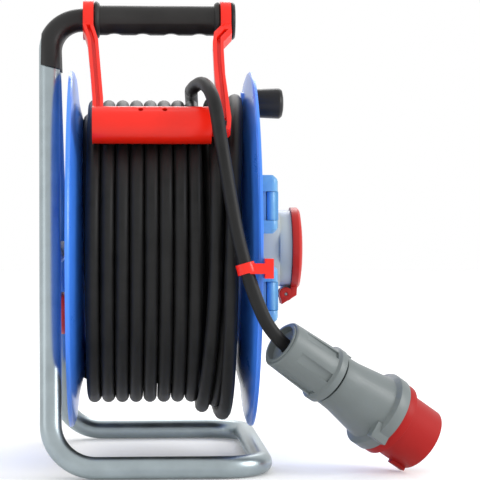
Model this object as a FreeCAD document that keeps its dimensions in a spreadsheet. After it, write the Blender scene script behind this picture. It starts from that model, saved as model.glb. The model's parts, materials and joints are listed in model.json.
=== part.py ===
import FreeCAD
import Part
import Sketcher

import math
import os

from FreeCAD import Placement, Rotation, Vector

# Cable reel on a bent tube frame. Millimetres, +Z up, the drum's axis along X, sockets towards +X.
# The origin lies on the floor, under the middle of the reel.

document = FreeCAD.newDocument("cable_reel")
sheet = document.addObject("Spreadsheet::Sheet", "sizes")

SIZES = {
    # Tube frame
    "tube_dia": 18.5,
    "tube_wall": 1.5,
    "foot_spacing": 300,
    "foot_length": 176.4,
    "rear_reach": 103.8,
    "leg_lean": 7.5,
    "handle_height": 395,
    "handle_reach": 52.8,
    "elbow_bend": 30,
    "foot_bend": 38,
    "corner_bend": 38,
    "crossbar_dia": 17.5,
    "crossbar_drop": 5.8,
    "axle_height": 188.5,
    "axle_dia": 14,
    # Fits and cuts
    "run_gap": 0.08,
    "fit_gap": 0.1,
    "part_gap": 0.3,
    # Elbow cover and grip
    "cover_wall": 1.9,
    "elbow_wall": 1.2,
    "cover_skirt": 17.7,
    "cover_slope": 8,
    "cover_slit": 6.6,
    "grip_dia": 26.7,
    "grip_length": 113.6,
    "grip_start": 71,
    "collar_dia": 34,
    "collar_width": 5,
    "recess_pitch": 25.6,
    "recess_width": 16.5,
    "recess_depth": 1.6,
    "recess_turn": 42,
    "recess_count": 4,
    "cap_dia": 34,
    "cap_thick": 3.5,
    "cap_stem": 18,
    # Cable guide
    "ring_dia": 35.8,
    "ring_width": 9.4,
    "arm_width": 9.4,
    "arm_depth": 9,
    "arm_groove": 3.4,
    "groove_depth": 5,
    "arm_length": 146.6,
    "arm_jog": 8.2,
    "arm_toe": 10.2,
    "bar_dia": 32,
    "bar_wall": 3,
    "bar_mouth": 60,
    "bar_hole": 4.6,
    "bar_hole_pitch": 20.4,
    "neck_dia": 19,
    "neck_length": 17,
    "guide_rest_gap": 0.8,
    # Drum
    "drum_middle": -10.5,
    "drum_width": 163.4,
    "flange_dia": 320,
    "dish_depth": 13.8,
    "web_thick": 3.5,
    "barrel_dia": 172,
    "barrel_wall": 3,
    "bush_wall": 3,
    "bush_length": 20,
    "bush_lip": 2,
    "hub_wall": 4,
    "rib_thick": 2.6,
    "track_inner": 37,
    "track_outer": 79,
    "track_lift": 10.6,
    "rib_end": 116,
    "spoke_count": 6,
    "bulkhead_place": 5.5,
    "bulkhead_thick": 4,
    "washer_dia": 26,
    "washer_thick": 1.6,
    "nut_dia": 20,
    "nut_height": 7,
    # Socket panel
    "panel_dia": 194,
    "panel_thick": 3,
    "panel_rise": 12,
    "panel_skirt": 3,
    "screw_circle": 176,
    "screw_shank": 4,
    "screw_head": 8,
    "screw_rise": 2.2,
    "screw_length": 10,
    "boss_dia": 9,
    "socket_circle": 92,
    # Mains sockets with lids
    "outlet_side": 51.6,
    "outlet_height": 51.6,
    "outlet_spread": 39.8,
    "ear_dia": 10.8,
    "ear_low_in": 11.4,
    "ear_high_in": 14.3,
    "ear_bevel": 3.6,
    "barrel_lid_dia": 7.6,
    "lid_thick": 8.2,
    "lid_pin_rise": 2.2,
    "outlet_rise": 10.7,
    "lid_wall": 2.5,
    "lid_bevel": 5,
    "base_bevel": 2,
    "pin_inset": 1,
    "pin_dia": 2.2,
    "well_dia": 39,
    "well_depth": 17.5,
    "cup_wall": 2.5,
    "contact_spread": 19,
    "contact_dia": 5,
    "contact_depth": 12,
    # Five pole outlet
    "pole_side": 66,
    "pole_round": 9,
    "pole_body": 25.8,
    "pole_ring": 11.1,
    "pole_ring_dia": 71,
    "pole_bore": 57.4,
    "pole_depth": 46,
    "pole_floor": 3,
    "pole_insert_dia": 42,
    "pole_insert_back": 8,
    "pole_hole": 6.4,
    "pole_hole_circle": 26,
    "pole_lid_gap": 0.4,
    "pole_lid_thick": 9.8,
    "pole_lid_dia": 76,
    "gasket_thick": 2,
    "pole_pin_back": 4,
    "pole_pin_up": 42.5,
    "pole_pin_dia": 3,
    "pole_tail_dia": 12.6,
    "pole_knuckle_dia": 7.8,
    "pole_ear_width": 10.4,
    "pole_tab_width": 26,
    # Cut-out button
    "button_side": 64,
    "button_dia": 9.4,
    "button_rise": 4,
    "button_travel": 1.5,
    "cutout_dia": 17,
    "cutout_depth": 15,
    # Crank knob
    "knob_share": 0.825,
    "knob_dia": 27.8,
    "knob_root_dia": 25.4,
    "knob_length": 30,
    "knob_cap": 3.6,
    "spindle_dia": 8,
    "spindle_head": 13,
    "boss_rise": 3.2,
    # Drum brake
    "brake_drop": 58,
    "brake_plate": 3,
    "brake_plate_width": 26,
    "brake_shoe_dia": 38,
    "brake_shoe_length": 5,
    "brake_pad": 3,
    "pad_inset": 1,
    "brake_gap": 0.8,
    "brake_bolt_dia": 8,
    "brake_knob_dia": 36,
    "brake_knob_length": 11,
    # Cable
    "cable_dia": 11.5,
    "turn_count": 8,
    "turn_play": 0.86,
    "turn_radius": 130.5,
    "turn_sag": 2,
    "first_turn": -70,
    "core_gap": 0.3,
    # Plug
    "plug_x": 85,
    "plug_y": -158,
    "plug_z": 112.8,
    "plug_pitch": 32.6,
    "plug_yaw": 24.2,
    "plug_cap_length": 52.5,
    "cap_start": 1.5,
    "plug_cap_dia": 41,
    "plug_cap_bulge": 50,
    "cap_band": 6,
    "flat_width": 8,
    "flat_depth": 0.2,
    "plug_seal_width": 3,
    "plug_seal_dia": 45,
    "seal_drop": 1.5,
    "plug_body_length": 61,
    "plug_body_dia": 45,
    "plug_body_bulge": 68,
    "body_band": 10,
    "latch_length": 7,
    "latch_width": 6,
    "plug_collar_length": 10,
    "plug_collar_dia": 66,
    "plug_shroud_dia": 56.5,
    "plug_shroud_length": 32.8,
    "plug_wall": 3,
    "plug_insert_dia": 42,
    "plug_insert_back": 12,
    "plug_pin_dia": 5,
    "plug_pin_length": 24,
    "plug_pin_circle": 26,
    "plug_key_width": 6,
    "plug_key_rise": 2.6,
    "gland_dia": 36,
    "gland_recess": 6,
    "gland_wall": 2.4,
    "gland_depth": 12,
    "plug_lead_in": 20,
    # Cable clip
    "clip_width": 8.6,
    "clip_wall": 2.2,
    "clip_arm": 8,
    "press": 0.05,
    "clip_block": 7.2,
    "clip_block_height": 16.2,
    "clip_hook": 8,
}

row = 0
for name, number in SIZES.items():
    row += 1
    sheet.set("A%d" % row, name)
    sheet.set("B%d" % row, str(number))
    sheet.setAlias("B%d" % row, name)
sheet.recompute()


class Named:
    """The driving sizes, read back from the sheet."""


size = Named()
for name in SIZES:
    setattr(size, name, float(sheet.get(name)))

next_row = [0]


def cell(formula):
    """Puts a formula of named sizes into the sheet and returns the place that holds it."""
    next_row[0] += 1
    place = "D%d" % next_row[0]
    sheet.set(place, "=" + formula)
    return place


def bind(thing, **formulas):
    """Binds properties of an object to formulas of named sizes."""
    for path, formula in formulas.items():
        thing.setExpression(path.replace("__", "."), "sizes." + cell(formula))


TURN = {
    "X": Rotation(Vector(0, 1, 0), 90),
    "Y": Rotation(Vector(1, 0, 0), -90),
    "Z": Rotation(),
}


def place(thing, at, turn=None):
    """Puts an object at three formulas, turned by a fixed rotation."""
    thing.Placement = Placement(Vector(), turn or Rotation())
    bind(thing, Placement__Base__x=at[0], Placement__Base__y=at[1], Placement__Base__z=at[2])
    return thing


def rod(name, diameter, length, at, along="X"):
    """A cylinder that starts at a place and runs along an axis."""
    thing = document.addObject("Part::Cylinder", name)
    bind(thing, Radius="(%s) / 2" % diameter, Height=length)
    return place(thing, at, TURN[along])


def block(name, lengths, low, turn=None):
    """A box by its three lengths and its lowest corner."""
    thing = document.addObject("Part::Box", name)
    bind(thing, Length=lengths[0], Width=lengths[1], Height=lengths[2])
    return place(thing, low, turn)


def join(name, *things):
    """Several solids made one."""
    thing = document.addObject("Part::MultiFuse", name)
    thing.Shapes = list(things)
    thing.Refine = True
    return thing


def less(name, base, *tools):
    """A solid with others cut from it."""
    tool = tools[0]
    if len(tools) > 1:
        tool = document.addObject("Part::MultiFuse", name + "_tools")
        tool.Shapes = list(tools)
    thing = document.addObject("Part::Cut", name)
    thing.Base = base
    thing.Tool = tool
    return thing


def group(name, things):
    """Separate solids kept in one node."""
    thing = document.addObject("Part::Compound", name)
    thing.Links = list(things)
    return thing


def chamfer(name, thing, length, picked):
    """Chamfers the edges of a solid that a test picks."""
    document.recompute()
    made = document.addObject("Part::Chamfer", name)
    made.Base = thing
    edges = thing.Shape.Edges
    box = thing.Shape.BoundBox
    made.Edges = [(i + 1, length, length) for i in range(len(edges)) if picked(edges[i], box)]
    return made


def runs_along_x(edge):
    """Says whether a straight edge lies along the X axis."""
    return edge.BoundBox.XLength > edge.BoundBox.YLength + edge.BoundBox.ZLength


def sketch_of(body, plane, points):
    """A closed outline in a body's own plane, each corner bound to two formulas."""
    sketch = body.newObject("Sketcher::SketchObject", body.Name + "_outline")
    planes = [f for f in body.Origin.OriginFeatures if f.Role == plane]
    sketch.AttachmentSupport = (planes[0], [""])
    sketch.MapMode = "FlatFace"
    places = [(cell(x), cell(y)) for x, y in points]
    sheet.recompute()
    spots = [Vector(float(sheet.get(x)), float(sheet.get(y)), 0) for x, y in places]
    count = len(spots)
    for i in range(count):
        sketch.addGeometry(Part.LineSegment(spots[i], spots[(i + 1) % count]), False)
    for i in range(count):
        sketch.addConstraint(Sketcher.Constraint("Coincident", i, 2, (i + 1) % count, 1))
    for i in range(count):
        across = sketch.addConstraint(Sketcher.Constraint("DistanceX", -1, 1, i, 1, spots[i].x))
        sketch.setExpression("Constraints[%d]" % across, "sizes." + places[i][0])
        up = sketch.addConstraint(Sketcher.Constraint("DistanceY", -1, 1, i, 1, spots[i].y))
        sketch.setExpression("Constraints[%d]" % up, "sizes." + places[i][1])
    return sketch


def turned(name, points, at=("0", "0", "0"), turn=None):
    """A body turned about the X axis from an outline of (x, radius) corners."""
    body = document.addObject("PartDesign::Body", name)
    sketch = sketch_of(body, "XY_Plane", points)
    made = body.newObject("PartDesign::Revolution", name + "_turned")
    made.Profile = sketch
    made.ReferenceAxis = (sketch, ["H_Axis"])
    made.Angle = 360
    body.Tip = made
    return place(body, at, turn)


def slab(name, points, width, at=("0", "0", "0"), turn=None):
    """A body padded evenly to both sides of its XZ plane from an outline of (x, z) corners."""
    body = document.addObject("PartDesign::Body", name)
    sketch = sketch_of(body, "XZ_Plane", points)
    made = body.newObject("PartDesign::Pad", name + "_pad")
    made.Profile = sketch
    made.Midplane = True
    bind(made, Length=width)
    body.Tip = made
    return place(body, at, turn)


def feature(name, shape):
    """A sub-part whose shape is made by code from the sheet's values."""
    thing = document.addObject("Part::Feature", name)
    thing.Shape = shape
    return thing


def arc_edge(start, end, heading):
    """An arc from one point to another that leaves along a heading, or a line where they agree."""
    chord = end - start
    across = chord - heading * chord.dot(heading)
    if across.Length < 1e-6 * chord.Length:
        return Part.LineSegment(start, end).toShape()
    across.normalize()
    radius = chord.dot(chord) / (2 * across.dot(chord))
    centre = start + across * radius
    middle = (start - centre) + (end - centre)
    middle.normalize()
    return Part.Arc(start, centre + middle * radius, end).toShape()


def biarc(start, leave, end, arrive):
    """Two arcs that join two points and meet both directions."""
    chord = end - start
    total = leave + arrive
    bend = 2 * (1 - leave.dot(arrive))
    along = chord.dot(total)
    reach = (math.sqrt(along * along + bend * chord.dot(chord)) - along) / bend
    joint = (start + leave * reach + end - arrive * reach) * 0.5
    first = arc_edge(start, joint, leave)
    second = arc_edge(end, joint, arrive * -1)
    return [first, second]


def bends(points, radii):
    """Straight runs between points, joined by tangent arcs of the given radii."""
    edges = []
    at = points[0]
    for i in range(1, len(points) - 1):
        into = (points[i] - points[i - 1]).normalize()
        out = (points[i + 1] - points[i]).normalize()
        turn = into.getAngle(out)
        cut = radii[i - 1] * math.tan(turn / 2)
        begin = points[i] - into * cut
        finish = points[i] + out * cut
        edges.append(Part.LineSegment(at, begin).toShape())
        edges.append(arc_edge(begin, finish, into))
        at = finish
    edges.append(Part.LineSegment(at, points[-1]).toShape())
    return edges


def pipe(edges, radius, start, heading):
    """A round tube along joined edges."""
    ring = Part.Wire([Part.makeCircle(radius, start, heading)])
    made = Part.Wire(edges).makePipeShell([ring], True, False)
    if made.Volume < 0:
        made.reverse()
    return made


def volume_note(name, shape, edges, radius):
    """Prints a tube's volume beside its section times its length."""
    length = sum(edge.Length for edge in edges)
    print("%s length %.1f, volume over section times length %.4f"
          % (name, length, shape.Volume / (math.pi * radius ** 2 * length)))


nodes = []


def keep(thing, label):
    """Marks a finished sub-part and names its node."""
    thing.Label = label
    nodes.append(thing)
    return thing


# Places that several pieces share
AXLE = ("0", "0", "axle_height")
HANDLE = ("0", "0", "handle_height")
DRUM_REAR = "(drum_middle - drum_width / 2)"
DRUM_FRONT = "(drum_middle + drum_width / 2)"
PANEL_FACE = "(%s - dish_depth + web_thick + panel_rise)" % DRUM_FRONT
REAR_WEB = "(%s + dish_depth - web_thick)" % DRUM_REAR
FRONT_WEB = "(%s - dish_depth + web_thick)" % DRUM_FRONT
LEG_X = "(-rear_reach - leg_lean)"
CROSSBAR_X = "(-rear_reach - leg_lean * axle_height / handle_height)"

# Tube frame: one loop from the grip over the elbow, down the near leg, round both feet and back up.
# Both legs lean together and become one tube in the elbow, so half is bent and the rest is its mirror.
tube_radius = size.tube_dia / 2
leg_top = Vector(-size.rear_reach - size.leg_lean, 0, size.handle_height)
foot_rear = Vector(-size.rear_reach, -size.foot_spacing / 2, tube_radius)
foot_front = foot_rear + Vector(size.foot_length, 0, 0)
rail_middle = Vector(foot_front.x, 0, tube_radius)
grip_end = Vector(size.handle_reach, 0, size.handle_height)
loop = [grip_end, leg_top, foot_rear, foot_front, rail_middle]
loop_bends = [size.elbow_bend, size.foot_bend, size.corner_bend]


def near_side(reach):
    """A block that holds all of the near half of the reel."""
    span = 2 * (size.foot_spacing + size.foot_length + reach)
    return Part.makeBox(span, span, span, Vector(-span / 2, -span, -span / 2 + size.handle_height / 2))


def mirrored_half(shape):
    """Fuses the near half of a shape to its own mirror image."""
    half = shape.common(near_side(size.handle_height))
    other = half.mirror(Vector(), Vector(0, 1, 0))
    return half.fuse(other).removeSplitter()


def along_loop(radius):
    """A rod of the given radius along the near half of the frame's tube."""
    return pipe(bends(loop, loop_bends), radius, grip_end, Vector(-1, 0, 0))


outer_rod = along_loop(tube_radius)
inner_rod = along_loop(tube_radius - size.tube_wall)
frame_tube = feature("frame_loop", mirrored_half(outer_rod.cut(inner_rod)))

# Crossbar between the legs, trimmed to them, and the axle welded into it
crossbar_z = "axle_height - crossbar_drop"
bar_rod = Part.makeCylinder(size.crossbar_dia / 2, size.foot_spacing,
                            Vector(-size.rear_reach - size.leg_lean * size.axle_height / size.handle_height,
                                   -size.foot_spacing / 2, size.axle_height - size.crossbar_drop),
                            Vector(0, 1, 0))
legs = outer_rod.fuse(outer_rod.mirror(Vector(), Vector(0, 1, 0)))
bar_parts = sorted(bar_rod.cut(legs).Solids, key=lambda solid: abs(solid.CenterOfMass.y))
crossbar = feature("leg_crossbar", bar_parts[0])
keep(frame_tube, "frame_tube")
keep(less("crossbar_cut", crossbar,
          rod("crossbar_seat", "axle_dia", "crossbar_dia * 2", (CROSSBAR_X, "0", "axle_height"))),
     "crossbar")

AXLE_END = "drum_middle + bulkhead_place + bulkhead_thick + washer_thick + nut_height + 3 * bush_lip"
keep(rod("axle_rod", "axle_dia", "%s - (%s)" % (AXLE_END, CROSSBAR_X), (CROSSBAR_X, "0", "axle_height")),
     "axle")

# Elbow cover over both tubes, open at the back, with a slanted lower end
cover_end = -size.grip_start - size.ring_width - 2 * size.part_gap
skirt_z = size.handle_height - size.elbow_bend - size.cover_skirt
slit = Part.makeBox(size.tube_dia, size.tube_dia * 4, size.elbow_bend + size.cover_skirt * 2,
                    Vector(leg_top.x - size.cover_slit - size.tube_dia, -size.tube_dia * 2,
                           skirt_z - size.cover_skirt))
slope_near = Vector(leg_top.x - size.tube_dia, -size.tube_dia * 4, skirt_z + size.cover_slope)
slope_far = Vector(leg_top.x + size.tube_dia, slope_near.y, skirt_z)
slope_deep = skirt_z - size.cover_skirt
under_corners = [slope_near, slope_far, Vector(slope_far.x, slope_far.y, slope_deep),
                 Vector(slope_near.x, slope_near.y, slope_deep)]
under = Part.Face(Part.makePolygon(under_corners + under_corners[:1])).extrude(Vector(0, size.tube_dia * 8,
                                                                                      0))
cover_zone = Part.makeBox(size.foot_length, size.tube_dia * 4, size.foot_length,
                          Vector(cover_end - size.foot_length, -size.tube_dia * 4, skirt_z))
cover_half = along_loop(tube_radius + size.elbow_wall).common(cover_zone)
cover_half = cover_half.cut(along_loop(tube_radius + size.fit_gap)).cut(slit).cut(under)
keep(feature("elbow_shell", mirrored_half(cover_half)), "elbow_cover")

# Grip with collars, and finger recesses round its lower half
GRIP_X = "-grip_start"
grip = turned("grip_turned", [
    ("0", "tube_dia / 2 + fit_gap"),
    ("0", "collar_dia / 2 - cover_wall"),
    ("cover_wall / 2", "collar_dia / 2"),
    ("collar_width / 2", "collar_dia / 2"),
    ("collar_width", "grip_dia / 2 + cover_wall"),
    ("collar_width", "grip_dia / 2"),
    ("grip_length - collar_width", "grip_dia / 2"),
    ("grip_length - collar_width", "grip_dia / 2 + cover_wall"),
    ("grip_length - collar_width / 2", "collar_dia / 2"),
    ("grip_length - cover_wall / 2", "collar_dia / 2"),
    ("grip_length", "collar_dia / 2 - cover_wall"),
    ("grip_length", "tube_dia / 2 + fit_gap"),
], (GRIP_X, "0", "handle_height"))
recesses = []
RECESS_REACH = "(grip_dia / 2 - recess_depth + recess_width)"
for i in range(int(size.recess_count)):
    for tilt in (-1, 0, 1):
        spin = Rotation(Vector(1, 0, 0), tilt * size.recess_turn)
        way = spin.multVec(Vector(0, 1, 0))
        down = spin.multVec(Vector(0, 0, -1))
        recess = document.addObject("Part::Cylinder", "recess_%d_%d" % (i, tilt + 1))
        bind(recess, Radius="recess_width", Height="grip_dia")
        recesses.append(place(recess, (
            "%s + grip_length / 2 + (%d - (recess_count - 1) / 2) * recess_pitch" % (GRIP_X, i),
            "%s * %.6f - grip_dia / 2 * %.6f" % (RECESS_REACH, down.y, way.y),
            "handle_height + %s * %.6f - grip_dia / 2 * %.6f" % (RECESS_REACH, down.z, way.z),
        ), spin.multiply(TURN["Y"])))
keep(less("grip_cut", grip, *recesses), "grip")
keep(turned("cap_turned", [
    ("cap_thick", "0"),
    ("cap_thick", "cap_dia / 2 - cap_thick / 2"),
    ("cap_thick / 2", "cap_dia / 2"),
    ("0", "cap_dia / 2"),
    ("0", "tube_dia / 2 - tube_wall - fit_gap"),
    ("-cap_stem", "tube_dia / 2 - tube_wall - fit_gap"),
    ("-cap_stem", "0"),
], ("handle_reach", "0", "handle_height")), "grip_end_cap")

# Cable guide: two rings on the tube, two grooved arms and a half-round bar that leans on the winding.
# It is drawn hanging straight down from the grip's axis, then swung until its bar meets the turns.
turn_reach = size.turn_radius + size.cable_dia / 2
tip_angle = math.radians(size.bar_mouth / 2)
tip_in = size.bar_dia / 2 * math.cos(tip_angle)
tip_out = size.bar_dia / 2 * math.sin(tip_angle)
bar_from_axle = math.sqrt((turn_reach + size.guide_rest_gap) ** 2 - tip_out ** 2) + tip_in
hang = size.handle_height - size.axle_height
squares = hang ** 2 + size.arm_length ** 2 - bar_from_axle ** 2
guide_lean = math.acos(squares / (2 * hang * size.arm_length))
print("guide leans %.2f degrees" % math.degrees(guide_lean))

LEFT_RING = "(-grip_start - part_gap - ring_width)"
RIGHT_RING = "(-grip_start + grip_length + part_gap)"
BAR_END = "(%s - arm_jog / 2 + arm_width - arm_jog / 4)" % RIGHT_RING
left_arm = [
    (LEFT_RING, "0"),
    (LEFT_RING, "-ring_dia / 2"),
    ("%s + arm_toe * 0.45" % LEFT_RING, "-arm_length * 0.27"),
    ("%s + arm_toe * 0.8" % LEFT_RING, "-arm_length * 0.6"),
    ("%s + arm_toe" % LEFT_RING, "-arm_length * 0.83"),
    ("%s + arm_toe" % LEFT_RING, "-arm_length"),
    ("%s + arm_toe + arm_width" % LEFT_RING, "-arm_length"),
    ("%s + arm_toe + arm_width * 0.96" % LEFT_RING, "-arm_length * 0.83"),
    ("%s + arm_toe * 0.8 + arm_width * 0.94" % LEFT_RING, "-arm_length * 0.6"),
    ("%s + arm_toe * 0.45 + arm_width" % LEFT_RING, "-arm_length * 0.27"),
    ("%s + ring_width" % LEFT_RING, "-ring_dia / 2"),
    ("%s + ring_width" % LEFT_RING, "0"),
]
right_arm = [
    (RIGHT_RING, "0"),
    (RIGHT_RING, "-ring_dia / 2"),
    ("%s - arm_jog * 0.8" % RIGHT_RING, "-arm_length * 0.19"),
    ("%s - arm_jog" % RIGHT_RING, "-arm_length * 0.29"),
    ("%s - arm_jog" % RIGHT_RING, "-arm_length * 0.6"),
    ("%s - arm_jog * 0.75" % RIGHT_RING, "-arm_length"),
    ("%s - arm_jog * 0.75" % RIGHT_RING, "-arm_length - bar_dia * 0.4"),
    ("%s - arm_jog * 0.75 + arm_width * 0.8" % RIGHT_RING, "-arm_length - bar_dia * 0.5"),
    ("%s - arm_jog * 0.75 + arm_width" % RIGHT_RING, "-arm_length - bar_dia * 0.4"),
    ("%s - arm_jog * 0.62 + arm_width" % RIGHT_RING, "-arm_length"),
    ("%s - arm_jog + arm_width" % RIGHT_RING, "-arm_length * 0.6"),
    ("%s - arm_jog + arm_width" % RIGHT_RING, "-arm_length * 0.29"),
    ("%s + ring_width" % RIGHT_RING, "-arm_length * 0.2"),
    ("%s + ring_width" % RIGHT_RING, "0"),
]


def groove_outline(points):
    """The middle strip of an arm's outline, between its two long sides."""
    count = len(points) // 2
    left = points[1:count]
    right = points[::-1][1:count]
    low = []
    high = []
    for one, other in zip(left, right):
        middle = "((%s) + (%s)) / 2" % (one[0], other[0])
        level = "((%s) + (%s)) / 2" % (one[1], other[1])
        low.append((middle + " - arm_groove / 2", level))
        high.append((middle + " + arm_groove / 2", level))
    return low + high[::-1]


def guide_piece(name, points, width, front):
    """A slab of the guide, standing off its middle plane to the front."""
    return slab(name, points, width, ("0", front, "0"))


arms = [guide_piece("guide_arm_left", left_arm, "arm_depth", "-arm_depth / 2"),
        guide_piece("guide_arm_right", right_arm, "arm_depth", "-arm_depth / 2")]
grooves = [guide_piece("guide_groove_left", groove_outline(left_arm), "groove_depth * 2", "-arm_depth"),
           guide_piece("guide_groove_right", groove_outline(right_arm), "groove_depth * 2", "-arm_depth")]
rings = [rod("guide_ring_left", "ring_dia", "ring_width", (LEFT_RING, "0", "0")),
         rod("guide_ring_right", "ring_dia", "ring_width", (RIGHT_RING, "0", "0"))]
BAR_START = "(%s + arm_toe)" % LEFT_RING
NECK_START = "(%s - arm_jog * 0.62 + arm_width - neck_length)" % RIGHT_RING
bar_outer = rod("guide_bar_outer", "bar_dia", "%s - %s" % (NECK_START, BAR_START),
                (BAR_START, "0", "-arm_length"))
bar_inner = rod("guide_bar_inner", "bar_dia - 2 * bar_wall",
                "%s - %s - 2 * bar_wall" % (NECK_START, BAR_START),
                ("%s + bar_wall" % BAR_START, "0", "-arm_length"))
neck = rod("guide_neck", "neck_dia", "neck_length - arm_width * 0.5",
           ("%s - bar_wall" % NECK_START, "0", "-arm_length"))
neck_bore = rod("guide_neck_bore", "neck_dia - 2 * bar_wall", "neck_length + bar_wall * 2",
                ("%s - bar_wall * 2" % NECK_START, "0", "-arm_length"))
end_wall = rod("guide_end_wall", "bar_dia", "bar_wall", ("%s - bar_wall" % NECK_START, "0", "-arm_length"))
holes = []
for i in range(2):
    holes.append(rod("guide_hole_%d" % i, "bar_hole", "bar_dia",
                     ("%s + ring_width * 4.35 + bar_hole_pitch * %d" % (BAR_START, i), "-bar_dia",
                      "-arm_length + bar_hole * 0.4"), "Y"))
bores = [rod("guide_bore", "tube_dia + 2 * run_gap", "grip_length + 4 * ring_width",
             ("%s - ring_width" % LEFT_RING, "0", "0"))]
arm_set = less("guide_arms_cut", join("guide_arms", *arms, *rings), *grooves, *bores)


# The bar is a split tube whose mouth opens towards the axle and rests on the turns
mouth_half = math.radians(size.bar_mouth / 2)
mouth_far = size.bar_dia * 1.5
mouth_corners = [Vector(0, 0, 0),
                 Vector(0, mouth_far * math.cos(mouth_half), mouth_far * math.sin(mouth_half)),
                 Vector(0, mouth_far * math.cos(mouth_half), -mouth_far * math.sin(mouth_half))]
mouth_wedge = Part.Face(Part.makePolygon(mouth_corners + mouth_corners[:1]))
mouth_length = (size.grip_length + size.ring_width + size.part_gap + size.arm_width
                - size.neck_length - size.arm_jog * 0.62)
mouth_wedge = mouth_wedge.extrude(Vector(mouth_length, 0, 0))
mouth_wedge.translate(Vector(-size.grip_start - size.ring_width, 0, -size.arm_length))
mouth = feature("guide_mouth", mouth_wedge)
guide = less("guide_whole", join("guide_shell", arm_set, bar_outer, neck, end_wall),
             bar_inner, neck_bore, mouth, *holes, rod(
                 "guide_bore_again", "tube_dia + 2 * run_gap", "grip_length + 4 * ring_width",
                 ("%s - ring_width" % LEFT_RING, "0", "0")))
guide.Placement = Placement(Vector(), Rotation(Vector(1, 0, 0), -math.degrees(guide_lean)))
bind(guide, Placement__Base__z="handle_height")
keep(guide, "cable_guide")


def flange(name, side, bore):
    """A dished disc with a rim lip, turned about the axle, dished towards one side."""
    face = "(drum_middle %s (drum_width / 2 - dish_depth * %%s))" % side
    rows = [
        ("1", bore), ("1", "flange_dia * 0.31"), ("0.93", "flange_dia * 0.353"), ("0.667",
                                                                                  "flange_dia * 0.394"),
        ("0.565", "flange_dia * 0.4156"), ("0.406", "flange_dia * 0.478"), ("0.268", "flange_dia * 0.4953"),
        ("0.16", "flange_dia / 2"), ("0", "flange_dia / 2"), ("0", "flange_dia / 2 - web_thick"),
        ("0.17", "flange_dia / 2 - web_thick * 1.6"),
    ]
    outline = [(face % drop, radius) for drop, radius in rows]
    for drop, radius in (("0.406", "0.474"), ("0.565", "0.4156"), ("0.667", "0.396"), ("0.93", "0.357"),
                         ("1", "0.314")):
        outline.append(("%s %s web_thick" % (face % drop, side), "flange_dia * %s" % radius))
    outline.append(("%s %s web_thick" % (face % "1", side), bore))
    return turned(name, outline, AXLE)


def at_circle(x, circle, angle):
    """Three formulas for a place on a circle round the axle, the angle from +Y towards +Z."""
    turn = math.radians(angle)
    return (x, "%s / 2 * %.6f" % (circle, math.cos(turn)),
            "axle_height + %s / 2 * %.6f" % (circle, math.sin(turn)))


# Rear flange with a flat track for the brake and ribs out to the dish
rear_disc = flange("rear_disc", "-", "axle_dia / 2 + bush_wall")
track = turned("brake_track", [
    ("%s + web_thick / 2" % REAR_WEB, "track_outer"), ("%s - track_lift" % REAR_WEB, "track_outer"),
    ("%s - track_lift" % REAR_WEB, "track_inner"), ("%s + web_thick / 2" % REAR_WEB, "track_inner")], AXLE)
rear_boss = turned("rear_boss", [
    ("%s + web_thick + bush_length / 2" % REAR_WEB, "axle_dia / 2 + bush_wall"),
    ("%s + web_thick + bush_length / 2" % REAR_WEB, "axle_dia / 2 + bush_wall + hub_wall"),
    ("%s - track_lift" % REAR_WEB, "axle_dia / 2 + bush_wall + hub_wall"),
    ("%s - track_lift" % REAR_WEB, "axle_dia / 2 + bush_wall")], AXLE)
ribs = []
for i in range(int(size.spoke_count)):
    angle = 30 + 360 * i / int(size.spoke_count)
    turn = math.radians(angle)
    for kind, near, far in (("inner", "axle_dia / 2 + bush_wall + hub_wall / 2",
                             "track_inner + hub_wall / 2"),
                            ("outer", "track_outer - hub_wall / 2", "rib_end")):
        rib = block("rear_rib_%s_%d" % (kind, i),
                    ("track_lift + web_thick / 2", "%s - (%s)" % (far, near), "rib_thick"),
                    ("%s - track_lift" % REAR_WEB, "(%s) * %.6f + rib_thick / 2 * %.6f"
                     % (near, math.cos(turn), math.sin(turn)),
                     "axle_height + (%s) * %.6f - rib_thick / 2 * %.6f" % (near, math.sin(turn),
                                                                           math.cos(turn))),
                    Rotation(Vector(1, 0, 0), angle))
        ribs.append(rib)
keep(join("rear_flange_whole", rear_disc, track, rear_boss, *ribs), "rear_flange")

# Front flange, open in the middle, with bosses for the panel's screws and for the crank knob
front_disc = flange("front_disc", "+", "barrel_dia / 2 - barrel_wall")
SCREW_ANGLES = (45, 135, 180, 225, 315)
front_bosses = []
for i, angle in enumerate(SCREW_ANGLES):
    boss_x, boss_y, boss_z = at_circle("%s - web_thick / 2" % FRONT_WEB, "screw_circle", angle)
    front_bosses.append(rod("panel_boss_%d" % i, "boss_dia", "panel_rise - panel_thick + web_thick / 2",
                            (boss_x, boss_y, boss_z)))
KNOB_BASE = "(%s + web_thick + boss_rise)" % "(drum_middle + (drum_width / 2 - dish_depth * 0.565))"
knob_boss = rod("knob_boss", "knob_root_dia * 0.8", "boss_rise + web_thick * 1.5",
                ("%s - boss_rise - web_thick * 1.5" % KNOB_BASE, "0",
                 "axle_height + flange_dia * knob_share / 2"))
spindle_hole = rod("knob_spindle_hole", "spindle_dia", "drum_width / 2",
                   ("drum_middle + drum_width / 4", "0", "axle_height + flange_dia * knob_share / 2"))
screw_holes = []
for i, angle in enumerate(SCREW_ANGLES):
    hole_at = at_circle("%s + panel_rise - screw_length - screw_rise" % FRONT_WEB, "screw_circle", angle)
    screw_holes.append(rod("screw_hole_%d" % i, "screw_shank", "screw_length * 2", hole_at))
front_flange = less("front_flange_whole", join("front_flange_solid", front_disc, knob_boss, *front_bosses),
                    spindle_hole, *screw_holes)
keep(front_flange, "front_flange")

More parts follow.
